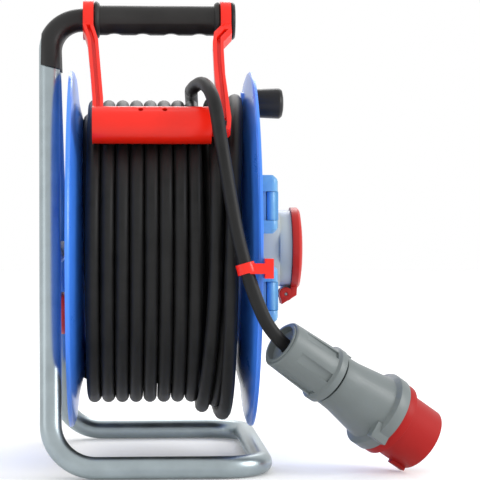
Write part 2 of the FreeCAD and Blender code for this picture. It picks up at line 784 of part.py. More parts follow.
keep(turned("barrel", [
    ("drum_middle - drum_width / 2 + dish_depth", "barrel_dia / 2"),
    ("drum_middle + drum_width / 2 - dish_depth", "barrel_dia / 2"),
    ("drum_middle + drum_width / 2 - dish_depth", "barrel_dia / 2 - barrel_wall"),
    ("drum_middle - drum_width / 2 + dish_depth", "barrel_dia / 2 - barrel_wall")], AXLE), "drum_barrel")
BULK = "(drum_middle + bulkhead_place)"
keep(turned("bulkhead_disc", [
    (BULK, "axle_dia / 2 + bush_wall"),
    (BULK, "barrel_dia / 2 - barrel_wall"),
    (BULK + " + bulkhead_thick", "barrel_dia / 2 - barrel_wall"),
    (BULK + " + bulkhead_thick", "axle_dia / 2 + bush_wall")], AXLE), "bulkhead")
REAR_BUSH = "(%s - track_lift)" % REAR_WEB
keep(turned("rear_bush_turned", [
    ("%s - bush_lip" % REAR_BUSH, "axle_dia / 2 + run_gap"),
    ("%s - bush_lip" % REAR_BUSH, "axle_dia / 2 + bush_wall * 2"),
    (REAR_BUSH, "axle_dia / 2 + bush_wall * 2"), (REAR_BUSH, "axle_dia / 2 + bush_wall"),
    ("%s + bush_length" % REAR_BUSH, "axle_dia / 2 + bush_wall"),
    ("%s + bush_length" % REAR_BUSH, "axle_dia / 2 + run_gap")], AXLE), "rear_bush")
FRONT_BUSH = "(%s + bulkhead_thick)" % BULK
keep(turned("front_bush_turned", [
    ("%s + bush_lip" % FRONT_BUSH, "axle_dia / 2 + run_gap"),
    ("%s + bush_lip" % FRONT_BUSH, "axle_dia / 2 + bush_wall * 2"),
    (FRONT_BUSH, "axle_dia / 2 + bush_wall * 2"), (FRONT_BUSH, "axle_dia / 2 + bush_wall"),
    (BULK, "axle_dia / 2 + bush_wall"), (BULK, "axle_dia / 2 + run_gap")], AXLE), "front_bush")
keep(turned("axle_washer_turned", [
    ("%s + bush_lip + run_gap" % FRONT_BUSH, "axle_dia / 2"),
    ("%s + bush_lip + run_gap" % FRONT_BUSH, "washer_dia / 2"),
    ("%s + bush_lip + run_gap + washer_thick" % FRONT_BUSH, "washer_dia / 2"),
    ("%s + bush_lip + run_gap + washer_thick" % FRONT_BUSH, "axle_dia / 2")], AXLE), "axle_washer")
nut = document.addObject("Part::Prism", "nut_prism")
nut.Polygon = 6
bind(nut, Circumradius="nut_dia / 2 * 1.15", Height="nut_height")
place(nut, ("%s + bush_lip + run_gap + washer_thick" % FRONT_BUSH, "0", "axle_height"), TURN["X"])
keep(less("nut_cut", nut, rod("nut_bore", "axle_dia", "nut_height * 3",
                              ("%s" % FRONT_BUSH, "0", "axle_height"))),
     "axle_nut")

# Round panel with the sockets, standing off the web on its skirt
panel_disc = turned("panel_disc", [
    (FRONT_WEB, "panel_dia / 2"), (PANEL_FACE + " - panel_thick / 2", "panel_dia / 2"),
    (PANEL_FACE, "panel_dia / 2 - panel_thick / 2"), (PANEL_FACE, "0"), (PANEL_FACE + " - panel_thick", "0"),
    (PANEL_FACE + " - panel_thick", "panel_dia / 2 - panel_skirt"), (FRONT_WEB,
                                                                     "panel_dia / 2 - panel_skirt")], AXLE)
MAINS_Y = "-socket_circle / 4"
MAINS = (("upper", "axle_height + outlet_spread"), ("lower", "axle_height - outlet_spread"))
POLE_Y = "socket_circle / 2"
panel_cuts = [rod("panel_pole_hole", "pole_bore", "panel_thick * 3",
                  (PANEL_FACE + " - panel_thick * 2", POLE_Y, "axle_height"))]
for name, level in MAINS:
    panel_cuts.append(rod("panel_hole_" + name, "well_dia + 2 * cup_wall", "panel_thick * 3",
                          (PANEL_FACE + " - panel_thick * 2", MAINS_Y, level)))
for i, angle in enumerate(SCREW_ANGLES):
    panel_cuts.append(rod("panel_screw_hole_%d" % i, "screw_shank", "panel_thick * 3",
                          at_circle(PANEL_FACE + " - panel_thick * 2", "screw_circle", angle)))
BUTTON = ("-button_side", "axle_height")
panel_cuts.append(rod("panel_button_hole", "button_dia + 2 * fit_gap", "panel_thick * 3",
                      (PANEL_FACE + " - panel_thick * 2",) + BUTTON))
keep(less("panel_whole", panel_disc, *panel_cuts), "socket_panel")
screws = []
for i, angle in enumerate(SCREW_ANGLES):
    shank = rod("screw_shank_%d" % i, "screw_shank", "screw_length",
                at_circle(PANEL_FACE + " - screw_length", "screw_circle", angle))
    head = rod("screw_head_%d" % i, "screw_head", "screw_rise", at_circle(PANEL_FACE, "screw_circle", angle))
    screws.append(join("screw_%d" % i, shank, head))
keep(group("screw_set", screws), "panel_screws")

# Two mains sockets: a base with two ears, a cup behind the panel, contacts, a sprung lid and its pin
BASE_FACE = "(%s + outlet_rise)" % PANEL_FACE
PIN_Y = "(%s - outlet_side / 2)" % MAINS_Y
PIN_X = "(%s + lid_pin_rise)" % BASE_FACE
for name, level in MAINS:
    base_box = block("base_box_" + name, ("outlet_rise", "outlet_side", "outlet_height"),
                     (PANEL_FACE, PIN_Y, "%s - outlet_height / 2" % level))
    base_round = chamfer("base_bevel_" + name, base_box, size.base_bevel, lambda edge, box: (
        runs_along_x(edge) and edge.CenterOfMass.y > box.Center.y))
    ears = []
    for i, (low, high) in enumerate((("ear_low_in", "outlet_height / 2"),
                                     ("-outlet_height / 2", "-ear_high_in"))):
        shift = "ear_bevel" if i else "0"
        ears.append(rod("ear_%s_%d" % (name, i), "ear_dia", "%s - (%s) - ear_bevel" % (high, low),
                        (PIN_X, PIN_Y, "%s + (%s) + %s" % (level, low, shift)), "Z"))
        tip = document.addObject("Part::Cone", "ear_tip_%s_%d" % (name, i))
        wide = "ear_dia / 2"
        slim = "ear_dia / 2 - ear_bevel"
        bind(tip, Radius1=slim if i else wide, Radius2=wide if i else slim, Height="ear_bevel")
        tip_low = low if i else "%s - ear_bevel" % high
        ears.append(place(tip, (PIN_X, PIN_Y, "%s + (%s)" % (level, tip_low))))
        ears.append(block("ear_foot_%s_%d" % (name, i),
                          ("outlet_rise + lid_pin_rise", "ear_dia", "%s - (%s)" % (high, low)),
                          (PANEL_FACE, "%s - ear_dia / 2" % PIN_Y, "%s + (%s)" % (level, low))))
    barrel_space = rod("lid_barrel_space_" + name, "barrel_lid_dia + 4 * part_gap",
                       "ear_high_in + ear_low_in",
                       (PIN_X, PIN_Y, "%s - ear_high_in" % level), "Z")
    cup = rod("cup_" + name, "well_dia + 2 * cup_wall", "well_depth + cup_wall + panel_thick",
              (BASE_FACE + " - outlet_rise - well_depth - cup_wall", MAINS_Y, level))
    well = rod("well_" + name, "well_dia", "well_depth + outlet_rise * 2",
               (BASE_FACE + " - outlet_rise - well_depth", MAINS_Y, level))
    pin_hole = rod("pin_hole_" + name, "pin_dia", "outlet_height * 2",
                   (PIN_X, PIN_Y, "%s - outlet_height" % level), "Z")
    keep(less("base_whole_" + name, join("base_solid_" + name, base_round, cup, *ears), well, barrel_space,
              pin_hole),
         "mains_base_" + name)
    well_floor = BASE_FACE + " - outlet_rise - well_depth"
    pads = rod("insert_disc_" + name, "well_dia", "contact_depth", (well_floor, MAINS_Y, level))
    contact_holes = []
    for i in range(2):
        contact_holes.append(rod("contact_hole_%s_%d" % (name, i), "contact_dia", "contact_depth * 2",
                                 (well_floor + " + cup_wall",
                                  "%s + contact_spread * %s" % (MAINS_Y, i - 0.5), level)))
    keep(less("insert_cut_" + name, pads, *contact_holes), "mains_insert_" + name)
    pin_low = "%s - outlet_height / 2 + pin_inset" % level
    keep(rod("lid_pin_" + name, "pin_dia", "outlet_height - 2 * pin_inset", (PIN_X, PIN_Y, pin_low), "Z"),
         "mains_pin_" + name)
    lid_low = (BASE_FACE + " + part_gap", "%s + ear_dia / 2 + part_gap" % PIN_Y,
               "%s - outlet_height / 2" % level)
    lid_box = block("lid_box_" + name, ("lid_thick", "outlet_side - ear_dia / 2 - part_gap",
                                        "outlet_height"), lid_low)
    lid_bevel = chamfer("lid_bevelled_" + name, lid_box, size.lid_bevel, lambda edge, box: (
        edge.CenterOfMass.x > box.Center.x + box.XLength / 4
        and edge.CenterOfMass.y > box.Center.y - box.YLength / 4))
    hollow_lengths = ("lid_thick - lid_wall * 1.4", "outlet_side - ear_dia / 2 - lid_wall * 4",
                      "outlet_height - lid_wall * 4")
    hollow = block("lid_hollow_" + name, hollow_lengths,
                   (BASE_FACE, "%s + ear_dia / 2 + lid_wall * 2" % PIN_Y,
                    "%s - outlet_height / 2 + lid_wall * 2" % level))
    barrel_length = "ear_low_in + ear_high_in - 2 * part_gap"
    lid_barrel = rod("lid_barrel_" + name, "barrel_lid_dia", barrel_length,
                     (PIN_X, PIN_Y, "%s - ear_high_in + part_gap" % level), "Z")
    lid_tongue = block("lid_tongue_" + name,
                       ("lid_thick - lid_pin_rise + part_gap", "ear_dia / 2 + lid_wall", barrel_length),
                       (PIN_X, PIN_Y, "%s - ear_high_in + part_gap" % level))
    lid_bore = rod("lid_bore_" + name, "pin_dia + 2 * run_gap", "outlet_height * 2",
                   (PIN_X, PIN_Y, "%s - outlet_height" % level), "Z")
    keep(less("lid_whole_" + name, join("lid_solid_" + name, less("lid_shell_" + name, lid_bevel, hollow),
                                        lid_barrel, lid_tongue), lid_bore), "mains_lid_" + name)

# Five pole outlet with a ring, an insert and a sprung lid hinged below
POLE_FACE = "(%s + pole_body)" % PANEL_FACE
RING_FACE = "(%s + pole_ring)" % POLE_FACE
pole_box = block("pole_box", ("pole_body", "pole_side", "pole_side"),
                 (PANEL_FACE, "%s - pole_side / 2" % POLE_Y, "axle_height - pole_side / 2"))
pole_soft = chamfer("pole_soft", pole_box, size.pole_round, lambda edge, box: runs_along_x(edge))
pole_cup = rod("pole_cup", "pole_bore", "pole_depth - pole_body + pole_floor + panel_thick",
               (POLE_FACE + " - pole_depth - pole_floor", POLE_Y, "axle_height"))
pole_well = rod("pole_well", "pole_bore - 2 * pole_floor", "pole_depth * 2",
                (POLE_FACE + " - pole_depth", POLE_Y, "axle_height"))
keep(less("pole_body_whole", join("pole_body_solid", pole_soft, pole_cup), pole_well), "pole_body")
POLE_PIN = (RING_FACE + " - pole_pin_back", "axle_height - pole_pin_up")
ring_disc = rod("pole_ring_disc", "pole_ring_dia", "pole_ring", (POLE_FACE, POLE_Y, "axle_height"))
EAR_Y = "(%s - pole_ear_width / 2)" % POLE_Y
ring_ear = block("ring_ear", ("pole_knuckle_dia", "pole_ear_width", "pole_pin_up - pole_ring_dia * 0.45"),
                 (POLE_PIN[0] + " - pole_knuckle_dia / 2", EAR_Y, POLE_PIN[1]))
ring_knuckle = rod("ring_knuckle", "pole_knuckle_dia", "pole_ear_width", (POLE_PIN[0], EAR_Y, POLE_PIN[1]),
                   "Y")
ring_well = rod("ring_well", "pole_bore - 2 * pole_floor", "pole_ring * 3",
                (POLE_FACE + " - pole_ring", POLE_Y, "axle_height"))
ring_pin_hole = rod("ring_pin_hole", "pole_pin_dia", "pole_side",
                    (POLE_PIN[0], "%s - pole_side / 2" % POLE_Y, POLE_PIN[1]), "Y")
keep(less("pole_ring_whole", join("pole_ring_solid", ring_disc, ring_ear, ring_knuckle), ring_well,
          ring_pin_hole), "pole_ring")
insert_base = rod("pole_insert_disc", "pole_bore - 2 * pole_floor", "pole_floor",
                  (POLE_FACE + " - pole_depth", POLE_Y, "axle_height"))
insert_core = rod("pole_insert_core", "pole_insert_dia", "pole_depth - pole_insert_back",
                  (POLE_FACE + " - pole_depth", POLE_Y, "axle_height"))
pole_holes = []
for i in range(5):
    angle = math.radians(90 + 72 * i)
    pole_holes.append(rod("pole_hole_%d" % i, "pole_hole", "pole_depth * 2", (
        POLE_FACE + " - pole_depth / 2",
        "%s + pole_hole_circle / 2 * %.6f" % (POLE_Y, math.cos(angle)),
        "axle_height + pole_hole_circle / 2 * %.6f" % math.sin(angle))))
keep(less("pole_insert_whole", join("pole_insert_solid", insert_base, insert_core), *pole_holes),
     "pole_insert")
keep(rod("pole_pin_rod", "pole_pin_dia", "pole_tab_width - 2 * pin_inset",
         (POLE_PIN[0], "%s - pole_tab_width / 2 + pin_inset" % POLE_Y, POLE_PIN[1]), "Y"), "pole_pin")
LID_BACK = "(%s + pole_lid_gap)" % RING_FACE
pole_dome = turned("pole_lid_dome", [
    (LID_BACK, "0"), (LID_BACK, "pole_lid_dia / 2"), (LID_BACK + " + pole_lid_thick * 0.62",
                                                      "pole_lid_dia / 2"),
    (LID_BACK + " + pole_lid_thick * 0.85", "pole_lid_dia / 2 - lid_wall"), (LID_BACK + " + pole_lid_thick",
                                                                             "pole_lid_dia * 0.34"),
    (LID_BACK + " + pole_lid_thick", "0")], ("0", POLE_Y, "axle_height"))
pole_tail = slab("pole_lid_tail", [
    (LID_BACK, "-pole_lid_dia * 0.447"), (LID_BACK + " + pole_lid_thick * 0.62", "-pole_lid_dia * 0.447"),
    (LID_BACK + " + pole_lid_thick * 0.55", "-pole_pin_up - pole_pin_dia / 3"),
    (LID_BACK + " - pole_lid_gap - pole_pin_back - pole_tail_dia * 0.32",
     "-pole_pin_up - pole_tail_dia * 0.75"),
    (LID_BACK + " - pole_lid_gap - pole_pin_back - pole_tail_dia * 0.4",
     "-pole_pin_up - pole_tail_dia * 0.24"),
    (LID_BACK, "-pole_pin_up + pole_pin_back")], "pole_tab_width", ("0", POLE_Y, "axle_height"))
tail_round = rod("pole_tail_round", "pole_tail_dia", "pole_tab_width",
                 (POLE_PIN[0], "%s - pole_tab_width / 2" % POLE_Y, POLE_PIN[1]), "Y")
tail_bore = rod("pole_tail_bore", "pole_pin_dia + 2 * run_gap", "pole_side",
                (POLE_PIN[0], "%s - pole_side / 2" % POLE_Y, POLE_PIN[1]), "Y")
tail_slot = block("pole_tail_slot", ("pole_body", "pole_ear_width + 2 * part_gap", "pole_side / 2"),
                  (LID_BACK + " - pole_body", EAR_Y + " - part_gap", POLE_PIN[1] + " - pole_tail_dia"))
keep(less("pole_lid_whole", join("pole_lid_solid", pole_dome, pole_tail, tail_round), tail_bore, tail_slot),
     "pole_lid")
keep(rod("lid_gasket_disc", "pole_bore - 4 * pole_floor", "gasket_thick",
         (LID_BACK + " - gasket_thick", POLE_Y, "axle_height")), "lid_gasket")

# Cut-out with its reset button
keep(rod("button_rod", "button_dia", "button_rise + panel_thick + button_travel",
         (PANEL_FACE + " - panel_thick - button_travel",) + BUTTON), "reset_button")
cutout_box = rod("cutout_rod", "cutout_dia", "cutout_depth",
                 (PANEL_FACE + " - panel_thick - cutout_depth",) + BUTTON)
cutout_bore = rod("cutout_bore", "button_dia + 2 * fit_gap", "3 * button_travel",
                  (PANEL_FACE + " - panel_thick - 2.5 * button_travel",) + BUTTON)
keep(less("cutout_whole", cutout_box, cutout_bore), "cut_out")

# Crank knob on its spindle
KNOB_AT = ("0", "0", "axle_height + flange_dia * knob_share / 2")
knob = turned("knob_turned", [
    (KNOB_BASE + " + part_gap", "spindle_dia / 2 + run_gap"), (KNOB_BASE + " + part_gap",
                                                               "knob_root_dia / 2"),
    (KNOB_BASE + " + knob_length - knob_cap",
     "knob_dia / 2"), (KNOB_BASE + " + knob_length - knob_cap * 0.3", "knob_dia * 0.43"),
    (KNOB_BASE + " + knob_length", "knob_dia / 4"), (KNOB_BASE + " + knob_length", "0"),
    (KNOB_BASE + " + knob_length - knob_cap", "0"), (KNOB_BASE + " + knob_length - knob_cap",
                                                     "spindle_head / 2 + fit_gap"),
    (KNOB_BASE + " + knob_length - 3 * knob_cap", "spindle_head / 2 + fit_gap"),
    (KNOB_BASE + " + knob_length - 3 * knob_cap", "spindle_dia / 2 + run_gap")], KNOB_AT)
keep(knob, "crank_knob")
keep(turned("spindle_turned", [
    (KNOB_BASE + " - boss_rise - web_thick", "0"), (KNOB_BASE + " - boss_rise - web_thick",
                                                    "spindle_dia / 2"),
    (KNOB_BASE + " + knob_length - 3 * knob_cap + part_gap", "spindle_dia / 2"),
    (KNOB_BASE + " + knob_length - 3 * knob_cap + part_gap", "spindle_head / 2"),
    (KNOB_BASE + " + knob_length - 2 * knob_cap",
     "spindle_head / 2"), (KNOB_BASE + " + knob_length - 2 * knob_cap", "0")],
    KNOB_AT), "knob_spindle")

# Drum brake: a plate under the crossbar, a spindle with a knob behind it, and a padded shoe in front
BRAKE_Z = "(axle_height - brake_drop)"
TRACK_FACE = "(%s - track_lift)" % REAR_WEB
SHOE = "(%s - brake_gap - brake_pad - brake_shoe_length)" % TRACK_FACE
PLATE = "(%s - brake_plate - part_gap)" % SHOE
plate = block("brake_plate_box", ("brake_plate", "brake_plate_width",
                                  "brake_drop - crossbar_drop + brake_shoe_dia / 4"),
              (PLATE, "-brake_plate_width / 2", BRAKE_Z + " - brake_shoe_dia / 4"))
plate_bore = rod("brake_plate_bore", "brake_bolt_dia + 2 * run_gap", "brake_plate * 3",
                 (PLATE + " - brake_plate", "0", BRAKE_Z))
plate_seat = rod("brake_plate_seat", "crossbar_dia", "brake_plate_width * 2",
                 (CROSSBAR_X, "-brake_plate_width", "axle_height - crossbar_drop"), "Y")
plate_axle = rod("brake_plate_axle", "axle_dia", "crossbar_dia * 2", (CROSSBAR_X, "0", "axle_height"))
keep(less("brake_plate_whole", plate, plate_bore, plate_seat, plate_axle), "brake_plate")
keep(rod("brake_bolt_rod", "brake_bolt_dia",
         "brake_knob_length + brake_plate + 2 * part_gap + brake_shoe_length * 0.8",
         (PLATE + " - part_gap - brake_knob_length", "0", BRAKE_Z)), "brake_spindle")
brake_grip = rod("brake_grip_rod", "brake_knob_dia", "brake_knob_length",
                 (PLATE + " - part_gap - brake_knob_length", "0", BRAKE_Z))
brake_scallops = []
for i in range(6):
    angle = math.radians(30 + 60 * i)
    brake_scallops.append(rod("brake_scallop_%d" % i, "brake_bolt_dia", "brake_knob_length * 3", (
        PLATE + " - part_gap - 2 * brake_knob_length", "brake_knob_dia / 2 * 1.1 * %.6f" % math.cos(angle),
        BRAKE_Z + " + brake_knob_dia / 2 * 1.1 * %.6f" % math.sin(angle))))
brake_bore = rod("brake_grip_bore", "brake_bolt_dia", "brake_knob_length * 3",
                 (PLATE + " - part_gap - 2 * brake_knob_length", "0", BRAKE_Z))
keep(less("brake_grip_whole", brake_grip, brake_bore, *brake_scallops), "brake_knob")
keep(less("brake_shoe_cut", rod("brake_shoe_rod", "brake_shoe_dia", "brake_shoe_length",
                                (SHOE, "0", BRAKE_Z)),
          rod("brake_shoe_bore", "brake_bolt_dia", "brake_shoe_length * 1.3",
              (SHOE + " - brake_shoe_length / 2", "0", BRAKE_Z))), "brake_shoe")
keep(rod("brake_pad_disc", "brake_shoe_dia - 2 * pad_inset", "brake_pad",
         (SHOE + " + brake_shoe_length", "0", BRAKE_Z)), "brake_pad")

# Winding: a plain core under eight neat turns and two loose loops, then one end over the top
FRONT_INNER = "(drum_middle + drum_width / 2 - dish_depth)"
keep(turned("core_turned", [
    ("drum_middle - drum_width / 2 + dish_depth", "barrel_dia / 2"),
    ("drum_middle - drum_width / 2 + dish_depth", "turn_radius - turn_sag - cable_dia / 2 - core_gap"),
    (FRONT_INNER, "turn_radius - turn_sag - cable_dia / 2 - core_gap"),
    (FRONT_INNER, "barrel_dia / 2")], AXLE), "cable_core")

drum_z = size.axle_height
pitch = size.cable_dia + size.turn_play
loose = [
    [(34.6, 131.5), (33.6, 133), (26, 142), (41, 132)],
    [(55.2, 134), (46.4, 141.5), (44, 149), (30, 150)],
]
last_top = (16.8, 143)
turn_points = []
for k in range(int(size.turn_count)):
    across = size.first_turn + k * pitch
    after = across + pitch
    if k == int(size.turn_count) - 1:
        after = loose[0][0][0]
    turn_points += [(across, 0, size.turn_radius - size.turn_sag), (across, 1, size.turn_radius),
                    (across, 2, size.turn_radius + size.turn_sag), ((across + after) / 2, 3,
                                                                    size.turn_radius)]
for loop_row in loose:
    for quarter in range(4):
        turn_points.append((loop_row[quarter][0], quarter, loop_row[quarter][1]))
turn_points.append((last_top[0], 0, last_top[1]))

OUTWARD = [Vector(0, 0, 1), Vector(0, -1, 0), Vector(0, 0, -1), Vector(0, 1, 0)]
ONWARD = [Vector(0, -1, 0), Vector(0, 0, -1), Vector(0, 1, 0), Vector(0, 0, 1)]
spots = [Vector(x, 0, drum_z) + OUTWARD[q] * r for x, q, r in turn_points]
headings = []
for i in range(len(turn_points)):
    heading = ONWARD[turn_points[i][1]]
    if 0 < i < len(turn_points) - 1:
        span = (turn_points[i - 1][2] + turn_points[i + 1][2]) * math.pi / 2
        drift = (turn_points[i + 1][0] - turn_points[i - 1][0]) / span
        rise = (turn_points[i + 1][2] - turn_points[i - 1][2]) / span
        if i < 4 * size.turn_count:
            rise = 0
        heading = heading + Vector(drift, 0, 0) + OUTWARD[turn_points[i][1]] * rise
    headings.append(Vector(heading).normalize())
winding_start = spots[0] - headings[0] * size.cable_dia
winding_end = spots[-1] + headings[-1] * size.cable_dia
winding_edges = [Part.LineSegment(winding_start, spots[0]).toShape()]
for i in range(len(spots) - 1):
    winding_edges += biarc(spots[i], headings[i], spots[i + 1], headings[i + 1])
winding_edges.append(Part.LineSegment(spots[-1], winding_end).toShape())
cable_radius = size.cable_dia / 2
winding = pipe(winding_edges, cable_radius, winding_start, headings[0])
volume_note("winding", winding, winding_edges, cable_radius)
samples = []
along = 0
for edge in winding_edges:
    steps = max(2, int(edge.Length / 4))
    points = edge.discretize(Number=steps + 1)
    if samples and (points[-1] - samples[-1][1]).Length < (points[0] - samples[-1][1]).Length:
        points.reverse()
    for point in points[:-1]:
        samples.append((along, point))
        along += edge.Length / steps
least = size.flange_dia
for i in range(len(samples)):
    for j in range(i + 1, len(samples)):
        if samples[j][0] - samples[i][0] > 6 * size.cable_dia:
            least = min(least, (samples[i][1] - samples[j][1]).Length)
print("winding least gap between turns %.2f" % (least - size.cable_dia))
keep(feature("winding_tube", winding), "cable_turns")

# Lead from the winding over the guide's bar and down past the rim to the plug
lead_points = [
    winding_end,
    Vector(16.8, -45, 331.5),
    Vector(24, -92, 338),
    Vector(31.5, -132, 318),
    Vector(36.5, -150, 280),
    Vector(43.5, -160, 235),
    Vector(50, -165.7, 197),
    Vector(62.5, -168.8, 152),
    Vector(79.3, -160.6, 116.7),
]
plug_start = Vector(size.plug_x, size.plug_y, size.plug_z)
plug_turn = Rotation(Vector(0, 0, 1), size.plug_yaw).multiply(Rotation(Vector(0, 1, 0), size.plug_pitch))
plug_way = plug_turn.multVec(Vector(1, 0, 0))
reach = (lead_points[-1] - plug_start).dot(plug_way)
lead_points[-1] = plug_start + plug_way * reach
lead_points.append(plug_start + plug_way * size.plug_lead_in)
lead_points[1].z = winding_end.z
radii = []
for i in range(1, len(lead_points) - 1):
    before = lead_points[i] - lead_points[i - 1]
    behind = lead_points[i + 1] - lead_points[i]
    radii.append(0.45 * min(before.Length, behind.Length) / math.tan(before.getAngle(behind) / 2))
print("lead bend radii", [round(radius, 1) for radius in radii])
lead_edges = bends(lead_points, radii)
lead = pipe(lead_edges, cable_radius, lead_points[0], Vector(0, -1, 0))
volume_note("lead", lead, lead_edges, cable_radius)
print("lead points", [tuple(round(c, 2) for c in point) for point in lead_points])
keep(feature("lead_tube", lead), "lead")

# Clip on the lead that hooks over the rim
clip_run = (lead_points[7] - lead_points[6])
clip_way = Vector(clip_run).normalize()
clip_from = lead_points[6] + clip_way * (clip_run.Length / 2 - size.clip_width / 2 + size.part_gap)
clip_ring = Part.makeCylinder(cable_radius + size.clip_wall, size.clip_width, clip_from, clip_way)
clip_bore = Part.makeCylinder(cable_radius - size.press, size.clip_width * 3,
                              clip_from - clip_way * size.clip_width,
                              clip_way)
hook_y = clip_from.y - clip_way.y + size.clip_wall
rim_face = size.drum_middle + size.drum_width / 2
clip_middle = clip_from + clip_way * (size.clip_width / 2)
hook = Part.makeBox(rim_face + size.part_gap + size.clip_block - clip_middle.x, size.clip_arm,
                    size.clip_width,
                    Vector(clip_middle.x, clip_middle.y - size.clip_arm + size.clip_wall,
                           clip_middle.z - size.clip_width / 2))
hook_block = Part.makeBox(size.clip_block, size.clip_hook + size.clip_arm + size.clip_wall * 2,
                          size.clip_block_height,
                          Vector(rim_face + size.part_gap, clip_middle.y - size.clip_arm + size.clip_wall,
                                 clip_middle.z - size.clip_block_height / 2))
clip_solid = clip_ring.fuse([hook, hook_block]).cut(clip_bore).removeSplitter()
keep(feature("clip_solid", clip_solid), "cable_clip")

# Plug, drawn along X from its cord end and then turned to lie in front of the reel

def on_plug(thing, label):
    """Turns a part of the plug into place."""
    thing.Placement = Placement(Vector(), plug_turn)
    bind(thing, Placement__Base__x="plug_x", Placement__Base__y="plug_y", Placement__Base__z="plug_z")
    keep(thing, label)


def in_group(name, tip):
    """Wraps a body so that it can be turned as a whole."""
    thing = document.addObject("Part::Refine", name)
    thing.Source = tip
    return thing


CAP_START = "cap_start"
CAP_END = "(%s + plug_cap_length)" % CAP_START
SEAL_END = "(%s + plug_seal_width)" % CAP_END
BODY_END = "(%s + plug_body_length)" % SEAL_END
COLLAR_END = "(%s + plug_collar_length)" % BODY_END
SHROUD_END = "(%s + plug_shroud_length)" % COLLAR_END
gland = turned("gland_turned", [
    ("gland_recess", "cable_dia / 2 - press"), ("gland_recess", "gland_dia / 2 - gland_wall"),
    ("0", "gland_dia / 2 - gland_wall"), ("0", "gland_dia / 2"), ("gland_depth", "gland_dia / 2"),
    ("gland_depth", "cable_dia / 2 - press")])
on_plug(in_group("gland_placed", gland), "plug_gland")
cap = turned("plug_cap_turned", [
    (CAP_START, "gland_dia / 2"), (CAP_START, "plug_cap_dia / 2 - plug_wall / 3"),
    (CAP_START + " + plug_wall / 3", "plug_cap_dia / 2"), (CAP_END + " - cap_band * 1.33",
                                                           "plug_seal_dia / 2"),
    (CAP_END + " - cap_band", "plug_cap_bulge / 2"), (CAP_END, "plug_cap_bulge / 2"),
    (CAP_END, "plug_seal_dia / 2 - plug_wall"), ("gland_depth + plug_wall",
                                                 "plug_cap_dia / 2 - plug_wall * 1.33"),
    ("gland_depth", "plug_cap_dia / 2 - plug_wall * 1.67"), ("gland_depth", "gland_dia / 2")])
cap_flats = []
for i in range(6):
    spin = Rotation(Vector(1, 0, 0), 60 * i + 15)
    flat = document.addObject("Part::Box", "cap_flat_%d" % i)
    bind(flat, Length="plug_cap_length * 0.64", Width="flat_width / 2", Height="flat_width")
    flat.Placement = Placement(Vector(), spin)
    move = spin.multVec(Vector(0, 1, 0))
    low = spin.multVec(Vector(0, 0, -1))
    bind(flat, Placement__Base__x="gland_depth",
         Placement__Base__y="(plug_cap_dia / 2 - flat_depth) * %.6f + flat_width / 2 * %.6f" % (move.y,
                                                                                                low.y),
         Placement__Base__z="(plug_cap_dia / 2 - flat_depth) * %.6f + flat_width / 2 * %.6f" % (move.z,
                                                                                                low.z))
    cap_flats.append(flat)
on_plug(less("plug_cap_whole", cap, *cap_flats), "plug_cap")
on_plug(in_group("seal_placed", turned("seal_turned", [
    (CAP_END, "plug_seal_dia / 2 - plug_wall"), (CAP_END, "plug_seal_dia / 2 - seal_drop"),
    (SEAL_END, "plug_seal_dia / 2 - seal_drop"),
    (SEAL_END, "plug_seal_dia / 2 - plug_wall")])), "plug_seal")
body = turned("plug_body_turned", [
    (SEAL_END, "plug_body_dia / 2 - plug_wall"), (SEAL_END, "plug_body_dia / 2"),
    (SEAL_END + " + plug_body_length * 0.25", "plug_body_dia * 0.522"),
    (SEAL_END + " + plug_body_length * 0.7", "plug_body_dia * 0.622"),
    (BODY_END + " - body_band * 1.2", "plug_body_dia * 0.644"), (BODY_END + " - body_band",
                                                                 "plug_body_bulge / 2"),
    (BODY_END, "plug_body_bulge / 2"), (BODY_END, "plug_insert_dia / 2 + plug_wall"),
    (BODY_END + " - body_band * 1.2", "plug_insert_dia / 2 - plug_wall / 2"),
    (SEAL_END + " + body_band", "plug_body_dia / 2 - plug_wall")])
tab = block("plug_tab", ("body_band * 1.6", "body_band * 0.7", "body_band * 1.4"),
            (BODY_END + " - body_band * 1.6", "-plug_body_bulge * 0.4", "-plug_body_bulge * 0.4"))
latch = block("plug_latch", ("latch_length", "latch_width", "latch_width / 2"),
              (SEAL_END, "-latch_width / 2", "plug_body_dia / 2 - latch_width / 5"))
on_plug(join("plug_body_whole", body, tab, latch), "plug_body")
shroud = turned("plug_shroud_turned", [
    (BODY_END, "plug_insert_dia / 2 + plug_wall"), (BODY_END, "plug_collar_dia / 2"),
    (COLLAR_END + " - plug_wall / 2", "plug_collar_dia / 2"), (COLLAR_END,
                                                               "plug_collar_dia / 2 - plug_wall * 0.8"),
    (COLLAR_END, "plug_shroud_dia / 2"), (SHROUD_END, "plug_shroud_dia / 2"),
    (SHROUD_END, "plug_shroud_dia / 2 - plug_wall"),
    (COLLAR_END + " - plug_collar_length * 0.4", "plug_shroud_dia / 2 - plug_wall"),
    (COLLAR_END + " - plug_collar_length * 0.4", "plug_insert_dia / 2 + plug_wall")])
key = block("plug_key", ("plug_shroud_length * 0.45", "plug_key_width", "plug_wall + plug_key_rise"),
            (SHROUD_END + " - plug_shroud_length * 0.45", "-plug_key_width / 2",
             "-plug_shroud_dia / 2 - plug_key_rise"))
on_plug(join("plug_shroud_whole", shroud, key), "plug_shroud")
carrier = rod("plug_carrier_rod", "plug_insert_dia + 2 * plug_wall", "plug_insert_back",
              (BODY_END, "0", "0"))
pin_holes = []
pin_rods = []
